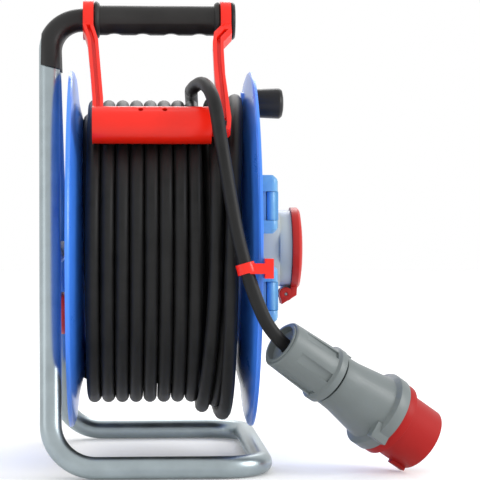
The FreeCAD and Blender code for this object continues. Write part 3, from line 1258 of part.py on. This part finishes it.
for i in range(5):
    angle = math.radians(-90 + 72 * i)
    across = "plug_pin_circle / 2 * %.6f" % math.cos(angle)
    up = "plug_pin_circle / 2 * %.6f" % math.sin(angle)
    pin_holes.append(rod("plug_pin_hole_%d" % i, "plug_pin_dia", "plug_insert_back * 3",
                         (BODY_END + " - plug_insert_back", across, up)))
    pin_rods.append(rod("plug_pin_%d" % i, "plug_pin_dia", "plug_pin_length + plug_insert_back",
                        (BODY_END, across, up)))
on_plug(less("plug_carrier_whole", carrier, *pin_holes), "plug_carrier")
on_plug(group("plug_pin_set", pin_rods), "plug_pins")

# Build, check every object and write one file for each node
document.recompute()
faults = []
for thing in document.Objects:
    if "Invalid" in thing.State or "Error" in thing.State:
        faults.append("%s %s" % (thing.Name, thing.State))
os.makedirs("parts", exist_ok=True)
for thing in nodes:
    shape = thing.Shape
    if shape.isNull() or not shape.isValid():
        faults.append("%s has no valid shape" % thing.Label)
        continue
    shape.exportStep("parts/%s.step" % thing.Label)
    box = shape.BoundBox
    print("%-20s solids %d volume %.0f" % (thing.Label, len(shape.Solids), shape.Volume),
          "x %.1f %.1f y %.1f %.1f" % (box.XMin, box.XMax, box.YMin, box.YMax),
          "z %.1f %.1f" % (box.ZMin, box.ZMax))
if faults:
    raise RuntimeError("; ".join(faults))
print("nodes", len(nodes))
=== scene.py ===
"""Cable reel on a tube frame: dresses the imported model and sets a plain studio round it."""

from __future__ import annotations

import json
import logging
import math
from collections.abc import Sequence
from dataclasses import dataclass, field
from enum import Enum

import bpy
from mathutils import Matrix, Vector

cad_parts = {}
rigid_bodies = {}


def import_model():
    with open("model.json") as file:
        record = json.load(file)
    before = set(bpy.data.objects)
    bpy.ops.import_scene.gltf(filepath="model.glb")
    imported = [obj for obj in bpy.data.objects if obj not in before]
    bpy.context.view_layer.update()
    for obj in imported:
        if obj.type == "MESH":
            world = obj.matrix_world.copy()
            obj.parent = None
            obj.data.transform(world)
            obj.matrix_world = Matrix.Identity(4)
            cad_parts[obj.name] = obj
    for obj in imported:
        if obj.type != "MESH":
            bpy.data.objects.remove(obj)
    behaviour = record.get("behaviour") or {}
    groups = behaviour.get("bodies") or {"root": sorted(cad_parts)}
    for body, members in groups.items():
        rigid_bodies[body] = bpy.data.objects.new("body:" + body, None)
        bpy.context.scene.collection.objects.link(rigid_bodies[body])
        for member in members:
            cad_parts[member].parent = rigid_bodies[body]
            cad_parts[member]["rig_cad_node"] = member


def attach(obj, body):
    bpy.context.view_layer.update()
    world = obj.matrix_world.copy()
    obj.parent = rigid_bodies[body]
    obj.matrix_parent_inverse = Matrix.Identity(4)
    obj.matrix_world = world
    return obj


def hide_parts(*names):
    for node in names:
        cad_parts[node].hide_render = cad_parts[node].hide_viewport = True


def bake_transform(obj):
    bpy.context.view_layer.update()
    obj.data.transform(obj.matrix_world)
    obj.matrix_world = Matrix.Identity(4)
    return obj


log = logging.getLogger("cable_reel")
MM = 0.001
WHITE = (1, 1, 1, 1)
BEVEL_FACES = 2
WELD_GAP = 0.01 * MM

# Angles in degrees: an edge under a crease angle is shaded smooth, and one under the flat angle
# is taken out.
CREASE = 32.0
WIDE_CREASE = 40.0
FLANGE_CREASE = 24.0
TUBE_CREASE = 60.0
FLAT_ANGLE = 0.6

Point = tuple[float, float, float]
Pairs = tuple[tuple[float, float], ...]


class Grain(Enum):
    """How a finish varies over its surface."""

    PEEL = "moulded plastic with a faint orange peel"
    SPANGLE = "zinc with crystals and drawn streaks"
    RUBBER = "rubber with a fine grain and dusty scuffs"


def linear(level: int) -> float:
    """Returns the linear value of an 8 bit display level."""
    share = level / 255
    return share / 12.92 if share <= 0.04045 else ((share + 0.055) / 1.055) ** 2.4


@dataclass(frozen=True)
class Surface:
    """Values that every finish shares: scales per metre, and shares from 0 to 1."""

    coat_roughness: float = 0.12
    bump_height: float = 0.0004
    broad_octaves: float = 5
    fine_octaves: float = 3
    streak_octaves: float = 2
    noise_roughness: float = 0.6
    crystal_scale: float = 320
    streak_squeeze: float = 0.06
    crystal_share: float = 0.3
    shade_from: float = 0.3
    shade_to: float = 0.7
    dust: float = 0.006
    fine_share: float = 0.35
    marks_from: float = 0.35
    least_roughness: float = 0.04


SURFACE = Surface()


@dataclass(frozen=True)
class Finish:
    """One surface finish, made of nodes that read object coordinates.

    Its name differs from every slot's name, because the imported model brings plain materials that
    are named after the slots.
    """

    name: str
    slot: str
    colour: tuple[int, int, int]
    roughness: float
    grain: Grain = Grain.PEEL
    metallic: float = 0.0
    coat: float = 0.0
    mottle: float = 0.06
    mottle_scale: float = 26.0
    bump: float = 0.1
    bump_scale: float = 900.0
    spread: float = 0.06
    specular: float = 0.5

    def material(self) -> bpy.types.Material:
        """Makes the material once and hands it out after that.

        Returns:
            The material of this finish.
        """
        made = bpy.data.materials.get(self.name)
        if made:
            return made
        made = bpy.data.materials.new(self.name)
        made.use_nodes = True
        tree = made.node_tree
        shader = tree.nodes["Principled BSDF"]
        shader.inputs["Metallic"].default_value = self.metallic
        shader.inputs["Coat Weight"].default_value = self.coat
        shader.inputs["Coat Roughness"].default_value = SURFACE.coat_roughness
        shader.inputs["Specular IOR Level"].default_value = self.specular
        place = tree.nodes.new("ShaderNodeTexCoord").outputs["Object"]
        broad = self.noise(tree, place, self.mottle_scale, SURFACE.broad_octaves)
        fine = self.noise(tree, place, self.bump_scale, SURFACE.fine_octaves)
        self.tint(tree, broad, shader.inputs["Base Color"])
        self.spread_roughness(tree, broad, fine, shader.inputs["Roughness"])
        bump = tree.nodes.new("ShaderNodeBump")
        bump.inputs["Strength"].default_value = self.bump
        bump.inputs["Distance"].default_value = SURFACE.bump_height
        height = self.streaks(tree, place) if self.grain is Grain.SPANGLE else fine
        tree.links.new(height, bump.inputs["Height"])
        tree.links.new(bump.outputs["Normal"], shader.inputs["Normal"])
        return made

    def noise(
        self, tree: bpy.types.NodeTree, place: bpy.types.NodeSocket, scale: float, detail: float
    ) -> bpy.types.NodeSocket:
        """Adds a noise texture.

        Args:
            tree: The material's nodes.
            place: The coordinates that it reads.
            scale: Its scale per metre.
            detail: Its number of octaves.

        Returns:
            The noise value.
        """
        node = tree.nodes.new("ShaderNodeTexNoise")
        node.inputs["Scale"].default_value = scale
        node.inputs["Detail"].default_value = detail
        node.inputs["Roughness"].default_value = SURFACE.noise_roughness
        tree.links.new(place, node.inputs["Vector"])
        return node.outputs["Fac"]

    def streaks(
        self, tree: bpy.types.NodeTree, place: bpy.types.NodeSocket
    ) -> bpy.types.NodeSocket:
        """Adds the crystals of a zinc coat under long drawn streaks.

        Args:
            tree: The material's nodes.
            place: The coordinates that they read.

        Returns:
            The height of the pattern.
        """
        cells = tree.nodes.new("ShaderNodeTexVoronoi")
        cells.inputs["Scale"].default_value = SURFACE.crystal_scale
        tree.links.new(place, cells.inputs["Vector"])
        stretch = tree.nodes.new("ShaderNodeMapping")
        stretch.inputs["Scale"].default_value = (1, 1, SURFACE.streak_squeeze)
        tree.links.new(place, stretch.inputs["Vector"])
        lines = self.noise(tree, stretch.outputs["Vector"], self.bump_scale, SURFACE.streak_octaves)
        both = tree.nodes.new("ShaderNodeMath")
        both.operation = "MULTIPLY_ADD"
        both.inputs[1].default_value = SURFACE.crystal_share
        tree.links.new(cells.outputs["Distance"], both.inputs[0])
        tree.links.new(lines, both.inputs[2])
        return both.outputs["Value"]

    def tint(
        self, tree: bpy.types.NodeTree, broad: bpy.types.NodeSocket, into: bpy.types.NodeSocket
    ) -> None:
        """Varies the colour a little between a darker and a lighter shade.

        Args:
            tree: The material's nodes.
            broad: The noise that varies it.
            into: The shader's colour socket.
        """
        ramp = tree.nodes.new("ShaderNodeValToRGB")
        dust = SURFACE.dust if self.grain is Grain.RUBBER else 0.0
        darker, lighter = ramp.color_ramp.elements
        for element, position, share, lift in (
            (darker, SURFACE.shade_from, 1 - self.mottle, 0.0),
            (lighter, SURFACE.shade_to, 1 + self.mottle, dust),
        ):
            element.position = position
            element.color = (*(min(1.0, linear(level) * share + lift) for level in self.colour), 1)
        tree.links.new(broad, ramp.inputs["Fac"])
        tree.links.new(ramp.outputs["Color"], into)

    def spread_roughness(
        self,
        tree: bpy.types.NodeTree,
        broad: bpy.types.NodeSocket,
        fine: bpy.types.NodeSocket,
        into: bpy.types.NodeSocket,
    ) -> None:
        """Varies the roughness with handling marks.

        Args:
            tree: The material's nodes.
            broad: The wide noise of the marks.
            fine: The fine noise inside them.
            into: The shader's roughness socket.
        """
        both = tree.nodes.new("ShaderNodeMath")
        both.operation = "MULTIPLY_ADD"
        both.inputs[1].default_value = SURFACE.fine_share
        tree.links.new(fine, both.inputs[0])
        tree.links.new(broad, both.inputs[2])
        span = tree.nodes.new("ShaderNodeMapRange")
        span.inputs["From Min"].default_value = SURFACE.marks_from
        span.inputs["From Max"].default_value = 1.0
        smoothest, roughest = self.roughness - self.spread, self.roughness + self.spread
        span.inputs["To Min"].default_value = max(SURFACE.least_roughness, smoothest)
        span.inputs["To Max"].default_value = min(1.0, roughest)
        tree.links.new(both.outputs["Value"], span.inputs["Value"])
        tree.links.new(span.outputs["Result"], into)

    def dress(self, piece: bpy.types.Object, smooth: float = CREASE) -> bpy.types.Object:
        """Gives a piece this finish and smooth shading up to an angle.

        Args:
            piece: The mesh object.
            smooth: The angle in degrees above which an edge stays sharp.

        Returns:
            The same piece.
        """
        piece.data.materials.clear()
        piece.data.materials.append(self.material())
        select_only(piece)
        bpy.ops.object.shade_smooth_by_angle(angle=math.radians(smooth))
        return piece


ZINC = Finish(
    "zinc_tube", "zinc", (160, 171, 175), 0.34,
    grain=Grain.SPANGLE, metallic=1.0, mottle=0.1, mottle_scale=40, bump=0.05,
    bump_scale=700, spread=0.07,
)
STEEL = Finish(
    "plain_steel", "steel", (150, 150, 152), 0.32,
    grain=Grain.SPANGLE, metallic=1.0, mottle=0.08, mottle_scale=60, bump=0.05,
    bump_scale=800, spread=0.08,
)
BRASS = Finish(
    "contact_brass", "brass", (205, 170, 95), 0.26,
    grain=Grain.SPANGLE, metallic=1.0, mottle_scale=60, bump=0.03, bump_scale=800,
)
GRIP = Finish(
    "moulded_rubber", "grip_rubber", (32, 31, 30), 0.5,
    grain=Grain.RUBBER, mottle=0.1, mottle_scale=30, bump=0.2, bump_scale=1100,
    spread=0.08, specular=0.3,
)
COVER = Finish(
    "moulded_cover", "cover_plastic", (28, 27, 27), 0.42,
    mottle=0.08, mottle_scale=30, bump=0.16, specular=0.35,
)
RED = Finish(
    "guide_plastic", "guide_red", (238, 32, 12), 0.32,
    coat=0.1, mottle=0.05, mottle_scale=22, bump=0.08, bump_scale=800, specular=0.35,
)
BLUE = Finish(
    "drum_plastic", "drum_blue", (68, 138, 255), 0.3,
    coat=0.2, mottle_scale=18, bump=0.07, bump_scale=700,
)
SKY = Finish(
    "lid_plastic", "lid_blue", (92, 156, 202), 0.32,
    coat=0.2, mottle=0.05, bump=0.08,
)
PALE = Finish(
    "outlet_plastic", "pole_grey", (180, 186, 186), 0.4,
    coat=0.05, mottle=0.04, bump=0.12,
)
WINE = Finish(
    "outlet_lid_plastic", "pole_red", (186, 34, 28), 0.34,
    mottle_scale=24, specular=0.25,
)
GREY = Finish(
    "plug_plastic", "plug_grey", (104, 112, 112), 0.44,
    coat=0.05, mottle=0.05, mottle_scale=30, bump=0.2, bump_scale=1300, spread=0.08,
)
PLUG_RED = Finish(
    "plug_shroud_plastic", "plug_red", (158, 18, 15), 0.46,
    mottle=0.05, bump=0.12, bump_scale=1000, specular=0.2,
)
BLACK = Finish(
    "moulded_black", "black_plastic", (20, 20, 22), 0.38,
    mottle=0.1, mottle_scale=30, bump=0.14, specular=0.3,
)
CABLE = Finish(
    "cable_sheath", "cable_rubber", (18, 18, 18), 0.48,
    grain=Grain.RUBBER, mottle=0.14, mottle_scale=45, bump=0.14, bump_scale=1500,
    spread=0.1, specular=0.25,
)
BUSH = Finish(
    "moulded_bush", "bush_plastic", (205, 204, 196), 0.35,
    mottle=0.04, mottle_scale=40, bump=0.08,
)
BRAKE = Finish(
    "brake_plastic", "brake_red", (196, 36, 30), 0.38,
    coat=0.1, mottle_scale=30, bump=0.12,
)


def select_only(piece: bpy.types.Object) -> None:
    """Leaves one object selected and active.

    Args:
        piece: The object.
    """
    bpy.ops.object.select_all(action="DESELECT")
    piece.select_set(True)
    bpy.context.view_layer.objects.active = piece


def settle(piece: bpy.types.Object) -> bpy.types.Object:
    """Applies an object's place, turn and scale to its mesh.

    Args:
        piece: The object.

    Returns:
        The same object, at the origin.
    """
    select_only(piece)
    bpy.ops.object.transform_apply(location=True, rotation=True, scale=True)
    return piece


def apply_modifiers(piece: bpy.types.Object) -> None:
    """Applies every modifier of a piece in order.

    Args:
        piece: The mesh object.
    """
    select_only(piece)
    for modifier in list(piece.modifiers):
        bpy.ops.object.modifier_apply(modifier=modifier.name)


def soften(piece: bpy.types.Object, width: float) -> None:
    """Rounds the sharp edges of a piece.

    Args:
        piece: The mesh object.
        width: The width of the rounding in millimetres.
    """
    bevel = piece.modifiers.new("edges", "BEVEL")
    bevel.width = width * MM
    bevel.segments = BEVEL_FACES
    bevel.limit_method = "ANGLE"
    bevel.angle_limit = math.radians(CREASE)
    bevel.miter_outer = "MITER_ARC"
    apply_modifiers(piece)


def moulded(
    node: str, body: str, finish: Finish, width: float = 0.0, smooth: float = CREASE
) -> bpy.types.Object:
    """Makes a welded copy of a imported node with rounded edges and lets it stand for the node.

    Args:
        node: The node's name.
        body: The body that it rides on.
        finish: Its finish.
        width: The rounding of its edges in millimetres, or none.
        smooth: The angle in degrees up to which it is shaded smooth.

    Returns:
        The new piece.
    """
    source = bpy.data.objects[node]
    piece = bpy.data.objects.new(node + "_piece", source.data.copy())
    bpy.context.scene.collection.objects.link(piece)
    select_only(piece)
    bpy.ops.object.mode_set(mode="EDIT")
    bpy.ops.mesh.customdata_custom_splitnormals_clear()
    bpy.ops.mesh.select_all(action="SELECT")
    bpy.ops.mesh.remove_doubles(threshold=WELD_GAP)
    if width:
        bpy.ops.mesh.dissolve_limited(angle_limit=math.radians(FLAT_ANGLE))
    bpy.ops.object.mode_set(mode="OBJECT")
    if width:
        soften(piece, width)
    finish.dress(piece, smooth)
    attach(piece, body)
    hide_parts(node)
    log.info("%s rides on %s", piece.name, body)
    return piece


def eased(points: Sequence[tuple[float, float]], steps: int) -> list[tuple[float, float]]:
    """Runs a smooth curve through corners.

    Args:
        points: The corners.
        steps: How many points each stretch gets.

    Returns:
        The points of the curve, both ends included.
    """
    made = []
    for i in range(len(points) - 1):
        before = points[max(0, i - 1)]
        here, there = points[i], points[i + 1]
        after = points[min(len(points) - 1, i + 2)]
        for step in range(steps):
            share = step / steps
            corners = zip(before, here, there, after)
            made.append(tuple(hermite(*levels, share) for levels in corners))
    return made + [points[-1]]


def hermite(before: float, here: float, there: float, after: float, share: float) -> float:
    """Returns a value between two numbers on a smooth curve that heeds their neighbours.

    Args:
        before: The number before both.
        here: The number where the stretch starts.
        there: The number where it ends.
        after: The number after both.
        share: How far along the stretch the value is, from 0 to 1.

    Returns:
        The value there.
    """
    leave, arrive = (there - before) / 2, (after - here) / 2
    square, cube = share**2, share**3
    return (
        (2 * cube - 3 * square + 1) * here
        + (cube - 2 * square + share) * leave
        + (3 * square - 2 * cube) * there
        + (cube - square) * arrive
    )


def round_tube(name: str, points: list[Point], radius: float, ring: int) -> bpy.types.Object:
    """Makes a closed round mesh tube along points.

    Args:
        name: The piece's name.
        points: The centreline in metres.
        radius: The tube's radius in metres.
        ring: The resolution of the round section.

    Returns:
        The mesh object.
    """
    curve = bpy.data.curves.new(name, "CURVE")
    curve.dimensions = "3D"
    curve.bevel_depth = radius
    curve.bevel_resolution = ring
    curve.use_fill_caps = True
    spline = curve.splines.new("POLY")
    spline.points.add(len(points) - 1)
    for spot, point in zip(spline.points, points):
        spot.co = (*point, 1)
    piece = bpy.data.objects.new(name, curve)
    bpy.context.scene.collection.objects.link(piece)
    select_only(piece)
    bpy.ops.object.convert(target="MESH")
    return bpy.context.object


@dataclass
class Studio:
    """Camera, floor, lamps and background, in metres and watts."""

    eye: Point = (-0.0386, -1.7, 0.2086)
    aim: Point = (0.0611, 0.0, 0.19645)
    lens: float = 140.6
    sensor: float = 36.0
    nearest: float = 0.1
    farthest: float = 50.0
    floor_level: float = -0.0004
    floor_size: float = 14.0
    floor_shade: float = 0.86
    floor_roughness: float = 0.9
    floor_gloss: float = 0.1
    floor_glow: float = 0.14
    ambient: float = 1.05
    lit_spot: Point = (0.0, 0.0, 0.2)
    lamps: tuple[tuple[str, Point, tuple[float, float], float], ...] = (
        ("key_lamp", (-2.2, -0.75, 1.1), (1.0, 1.2), 4),
        ("side_lamp", (2.2, -0.75, 1.0), (1.0, 1.2), 28),
        ("back_lamp", (0.2, 1.7, 1.5), (1.4, 0.8), 14),
    )

    def camera(self) -> None:
        """Makes the camera at the photograph's place."""
        data = bpy.data.cameras.new("camera")
        data.lens = self.lens
        data.sensor_width = self.sensor
        data.clip_start, data.clip_end = self.nearest, self.farthest
        made = bpy.data.objects.new("camera", data)
        bpy.context.scene.collection.objects.link(made)
        made.location = self.eye
        made.rotation_mode = "QUATERNION"
        made.rotation_quaternion = (Vector(self.aim) - Vector(self.eye)).to_track_quat("-Z", "Y")
        bpy.context.scene.camera = made

    def seen(self, tree: bpy.types.NodeTree) -> bpy.types.NodeSocket:
        """Tells rays that show the background from those that light the object.

        Args:
            tree: The nodes of the floor or the world.

        Returns:
            A value of 1 for straight, mirrored and refracted views, and 0 for light.
        """
        path = tree.nodes.new("ShaderNodeLightPath")
        value = path.outputs["Is Camera Ray"]
        for name in ("Is Glossy Ray", "Is Transmission Ray"):
            both = tree.nodes.new("ShaderNodeMath")
            both.operation = "MAXIMUM"
            tree.links.new(value, both.inputs[0])
            tree.links.new(path.outputs[name], both.inputs[1])
            value = both.outputs["Value"]
        return value

    def world(self) -> None:
        """Sets a white background, and plain ambient light that is a little stronger."""
        world = bpy.data.worlds.new("studio")
        bpy.context.scene.world = world
        world.use_nodes = True
        tree = world.node_tree
        back = tree.nodes["Background"]
        back.inputs["Color"].default_value = WHITE
        strength = tree.nodes.new("ShaderNodeMapRange")
        strength.inputs["To Min"].default_value = self.ambient
        strength.inputs["To Max"].default_value = 1.0
        tree.links.new(self.seen(tree), strength.inputs["Value"])
        tree.links.new(strength.outputs["Result"], back.inputs["Strength"])

    def floor(self) -> None:
        """Makes the pale floor, white to the camera but for the object's shadow."""
        bpy.ops.object.select_all(action="DESELECT")
        bpy.ops.mesh.primitive_plane_add(size=self.floor_size, location=(0, 0, self.floor_level))
        made = settle(bpy.context.object)
        made.name = "floor"
        paint = bpy.data.materials.new("floor_paint")
        paint.use_nodes = True
        tree = paint.node_tree
        shader = tree.nodes["Principled BSDF"]
        shader.inputs["Base Color"].default_value = (*[self.floor_shade] * 3, 1)
        shader.inputs["Roughness"].default_value = self.floor_roughness
        shader.inputs["Specular IOR Level"].default_value = self.floor_gloss
        shader.inputs["Emission Color"].default_value = WHITE
        glow = tree.nodes.new("ShaderNodeMath")
        glow.operation = "MULTIPLY"
        glow.inputs[1].default_value = self.floor_glow
        tree.links.new(self.seen(tree), glow.inputs[0])
        tree.links.new(glow.outputs["Value"], shader.inputs["Emission Strength"])
        made.data.materials.append(paint)

    def lamp(self, name: str, place: Point, size: tuple[float, float], power: float) -> None:
        """Hangs a soft rectangular lamp that points at the reel's middle.

        Args:
            name: The lamp's name.
            place: Where it hangs, in metres.
            size: Its width and height in metres.
            power: Its power in watts.
        """
        data = bpy.data.lights.new(name, "AREA")
        data.shape = "RECTANGLE"
        data.size, data.size_y = size
        data.energy = power
        made = bpy.data.objects.new(name, data)
        bpy.context.scene.collection.objects.link(made)
        made.location = place
        made.rotation_mode = "QUATERNION"
        made.rotation_quaternion = (Vector(self.lit_spot) - Vector(place)).to_track_quat("-Z", "Y")

    def build(self) -> None:
        """Sets the camera, the lamps, the background and the floor."""
        bpy.context.scene.view_settings.view_transform = "Standard"
        self.camera()
        self.world()
        self.floor()
        for name, place, size, power in self.lamps:
            self.lamp(name, place, size, power)


@dataclass
class Lead:
    """The free cable from the winding over the guide's bar to the plug.

    The route's points are in millimetres, as in the part's source, and the length is in metres.
    The fields lean, still_at and swings_at are not used: the tube stays as laid along the route.
    """

    diameter: float = 11.5
    length: float = 0.362
    ring: int = 6
    spline_order: int = 3
    spline_steps: int = 12
    route: tuple[Point, ...] = (
        (16.8, -11.5, 331.5),
        (16.8, -45, 331.5),
        (24, -92, 333.4),
        (31.5, -132, 318),
        (36.5, -150, 280),
        (43.5, -160, 235),
        (50, -165.7, 197),
        (62.5, -168.8, 152),
        (79.33, -160.55, 116.78),
        (100.37, -151.09, 102.02),
    )
    lean: Vector = field(default_factory=lambda: Vector((0, -0.3, 0.954)))
    still_at: float = 0.3185
    swings_at: float = 0.345

    def centreline(self) -> list[Point]:
        """Lays a smooth spline on the route's points.

        Returns:
            The points along the spline, in metres.
        """
        curve = bpy.data.curves.new("lead_route", "CURVE")
        curve.dimensions = "3D"
        spline = curve.splines.new("NURBS")
        spline.points.add(len(self.route) - 1)
        for spot, point in zip(spline.points, self.route):
            spot.co = (*(Vector(point) * MM), 1)
        spline.order_u = self.spline_order
        spline.use_endpoint_u = True
        spline.resolution_u = self.spline_steps
        holder = bpy.data.objects.new("lead_route", curve)
        mesh = bpy.data.meshes.new_from_object(holder)
        points = [tuple(vertex.co) for vertex in mesh.vertices]
        bpy.data.objects.remove(holder)
        bpy.data.meshes.remove(mesh)
        return points

    def build(self) -> tuple[bpy.types.Object, list[Point]]:
        """Makes the lead's tube along its route and hides the imported lead.

        Returns:
            The piece and the points that it follows.
        """
        points = self.centreline()
        piece = round_tube("lead_piece", points, self.diameter / 2 * MM, self.ring)
        CABLE.dress(piece, TUBE_CREASE)
        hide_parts("lead")
        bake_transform(piece)
        log.info("lead_piece bends between the frame and the guide")
        return piece, points


@dataclass
class Winding:
    """The cable on the drum: an inner layer, eight neat turns, two loose loops and its upper end.

    All sizes are in millimetres. The pairs are a place along X and a radius at each quarter turn.
    """

    diameter: float = 12.0
    level: float = 188.5
    first: float = -70.0
    pitch: float = 12.36
    neat: int = 8
    radius: float = 130.5
    sag: float = 2.0
    steps: int = 12
    ring: int = 5
    climb: Pairs = ((-76.5, 112.0), (-76.2, 121.5))
    loose: Pairs = (
        (34.6, 131.5),
        (33.6, 133),
        (26, 142),
        (41, 132),
        (55.2, 134),
        (46.4, 141.5),
        (44, 149),
        (30, 150),
        (16.8, 143),
    )
    tucked: Pairs = ((50.5, 117.5), (46.5, 128), (37, 137), (52, 127), (45, 126), (51, 117.5))
    inner_radius: float = 116.3
    inner_pitch: float = 11.4
    inner_turns: int = 11
    inner_start: float = -74.4
    inner_ring: int = 4

    def at(self, quarter: float, across: float, radius: float) -> Point:
        """Returns a place on the winding.

        Args:
            quarter: The quarter turns from the top.
            across: The place along X in millimetres.
            radius: The distance from the drum's axis in millimetres.

        Returns:
            The place in metres.
        """
        angle = quarter * math.pi / 2
        height = self.level + math.cos(angle) * radius
        return (across * MM, -math.sin(angle) * radius * MM, height * MM)

    def stations(self) -> list[tuple[float, float]]:
        """Puts the outer layer's corners in order, from its climb to its end over the top.

        Returns:
            A pair for each quarter turn.
        """
        made = list(self.climb)
        for turn in range(self.neat):
            across = self.first + turn * self.pitch
            after = across + self.pitch if turn < self.neat - 1 else self.loose[0][0]
            made += [
                (across, self.radius - self.sag),
                (across, self.radius),
                (across, self.radius + self.sag),
                ((across + after) / 2, self.radius),
            ]
        return made + list(self.loose)

    def outer(self) -> bpy.types.Object:
        """Makes the turns that show, with a loop tucked under the loose ones, as one piece.

        Returns:
            The piece.
        """
        early = len(self.climb)
        turns, tucked = eased(self.stations(), self.steps), eased(self.tucked, self.steps)
        points = [self.at(number / self.steps - early, *pair) for number, pair in enumerate(turns)]
        last = Vector(points[-1])
        points += [tuple(last + Vector((0, -self.diameter * MM * share, 0))) for share in (0.5, 1)]
        wound = round_tube("wound_cable", points, self.diameter / 2 * MM, self.ring)
        below = [self.at(number / self.steps, *pair) for number, pair in enumerate(tucked)]
        round_tube("tucked_loop", below, self.diameter / 2 * MM, self.ring).select_set(True)
        wound.select_set(True)
        bpy.context.view_layer.objects.active = wound
        bpy.ops.object.join()
        return wound

    def inner(self) -> bpy.types.Object:
        """Makes the layer that shows between and beside the turns.

        Returns:
            The piece.
        """
        a_turn = 4 * self.steps
        points = []
        for number in range(self.inner_turns * a_turn + 1):
            across = self.inner_start + self.inner_pitch * number / a_turn
            points.append(self.at(number / self.steps, across, self.inner_radius))
        return round_tube("wound_cable_below", points, self.diameter / 2 * MM, self.inner_ring)

    def build(self) -> None:
        """Makes both layers and lets them ride on the drum."""
        for piece, node in ((self.outer(), "cable_turns"), (self.inner(), "cable_core")):
            CABLE.dress(piece, TUBE_CREASE)
            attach(piece, "drum")
            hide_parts(node)
            log.info("%s rides on drum", piece.name)


@dataclass
class TubeFrame:
    """The bent tube with its crossbar, axle, elbow cover and grip.

    Each part is a node, its finish and the rounding of its edges in millimetres.
    """

    body: str = "frame"
    parts: tuple[tuple[str, Finish, float], ...] = (
        ("frame_tube", ZINC, 0),
        ("crossbar", ZINC, 0),
        ("axle", STEEL, 0),
        ("axle_washer", STEEL, 0),
        ("axle_nut", STEEL, 0.4),
        ("elbow_cover", COVER, 0.5),
        ("grip", GRIP, 0.7),
        ("grip_end_cap", BLACK, 0.5),
        ("brake_plate", ZINC, 0.4),
    )

    def build(self) -> None:
        """Makes the frame's pieces."""
        for node, finish, width in self.parts:
            moulded(node, self.body, finish, width, WIDE_CREASE)


@dataclass
class Drum:
    """Both flanges, the barrel, the panel and what turns with them.

    Each part is a node, its finish and the rounding of its edges in millimetres.
    """

    body: str = "drum"
    parts: tuple[tuple[str, Finish, float], ...] = (
        ("drum_barrel", BLUE, 0),
        ("bulkhead", BLUE, 0),
        ("rear_bush", BUSH, 0.3),
        ("front_bush", BUSH, 0.3),
        ("rear_flange", BLUE, 0.35),
        ("front_flange", BLUE, 0.35),
        ("socket_panel", BLUE, 0.5),
        ("panel_screws", STEEL, 0.4),
        ("cut_out", BLACK, 0.3),
        ("knob_spindle", STEEL, 0.3),
    )

    def build(self) -> None:
        """Makes the drum's pieces."""
        for node, finish, width in self.parts:
            crease = FLANGE_CREASE if "flange" in node else WIDE_CREASE
            moulded(node, self.body, finish, width, crease)


@dataclass
class Outlets:
    """Two mains outlets and the five pole outlet, each with its sprung lid, and the reset button.

    Each part is a node, its body, its finish and the rounding of its edges in millimetres.
    """

    sides: tuple[str, str] = ("upper", "lower")
    mains_parts: tuple[tuple[str, str, Finish, float], ...] = (
        ("mains_base_{side}", "drum", SKY, 0.6),
        ("mains_insert_{side}", "drum", BLACK, 0.4),
        ("mains_pin_{side}", "drum", STEEL, 0.2),
        ("mains_lid_{side}", "lid_{side}", SKY, 0.6),
    )
    parts: tuple[tuple[str, str, Finish, float], ...] = (
        ("pole_body", "drum", PALE, 0.8),
        ("pole_ring", "drum", PALE, 0.4),
        ("pole_insert", "drum", BLACK, 0.4),
        ("pole_pin", "drum", STEEL, 0.3),
        ("pole_lid", "lid_pole", WINE, 0.7),
        ("lid_gasket", "lid_pole", BLACK, 0.4),
        ("reset_button", "button", BLACK, 0.5),
    )

    def build(self) -> None:
        """Makes the outlets' pieces, one mains outlet after the other."""
        for side in self.sides:
            for node, body, finish, width in self.mains_parts:
                moulded(node.format(side=side), body.format(side=side), finish, width)
        for node, body, finish, width in self.parts:
            moulded(node, body, finish, width)


@dataclass
class Handling:
    """The cable guide, the crank knob and the drum's brake.

    Each part is a node, its body, its finish and the rounding of its edges in millimetres.
    """

    parts: tuple[tuple[str, str, Finish, float], ...] = (
        ("cable_guide", "guide", RED, 0.7),
        ("crank_knob", "knob", BLACK, 0.7),
        ("brake_knob", "brake", BLACK, 0.8),
        ("brake_spindle", "brake", STEEL, 0.4),
        ("brake_shoe", "brake", BRAKE, 0.6),
        ("brake_pad", "brake", CABLE, 0.4),
    )

    def build(self) -> None:
        """Makes the pieces that a hand moves."""
        for node, body, finish, width in self.parts:
            moulded(node, body, finish, width, WIDE_CREASE)


@dataclass
class Plug:
    """The clip and the five pole plug on the lead's end.

    Each part is a node, its finish and the rounding of its edges in millimetres.
    """

    body: str = "frame"
    parts: tuple[tuple[str, Finish, float], ...] = (
        ("cable_clip", RED, 0.5),
        ("plug_gland", GREY, 0.4),
        ("plug_cap", GREY, 0.6),
        ("plug_seal", BLACK, 0.2),
        ("plug_body", GREY, 0.8),
        ("plug_shroud", PLUG_RED, 0.6),
        ("plug_carrier", BLACK, 0.4),
        ("plug_pins", BRASS, 0.6),
    )

    def build(self) -> list[bpy.types.Object]:
        """Makes the pieces.

        Returns:
            The clip and the plug's pieces.
        """
        return [
            moulded(node, self.body, finish, width, WIDE_CREASE)
            for node, finish, width in self.parts
        ]


def main() -> None:
    """Builds the studio, then every part of the reel."""
    logging.basicConfig(level=logging.INFO, format="%(message)s")
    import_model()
    bpy.ops.object.select_all(action="DESELECT")
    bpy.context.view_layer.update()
    Studio().build()
    lead = Lead()
    tube, points = lead.build()
    Winding().build()
    TubeFrame().build()
    Drum().build()
    Outlets().build()
    Handling().build()
    Plug().build()
    bpy.context.view_layer.update()


if __name__ == "__main__":
    main()
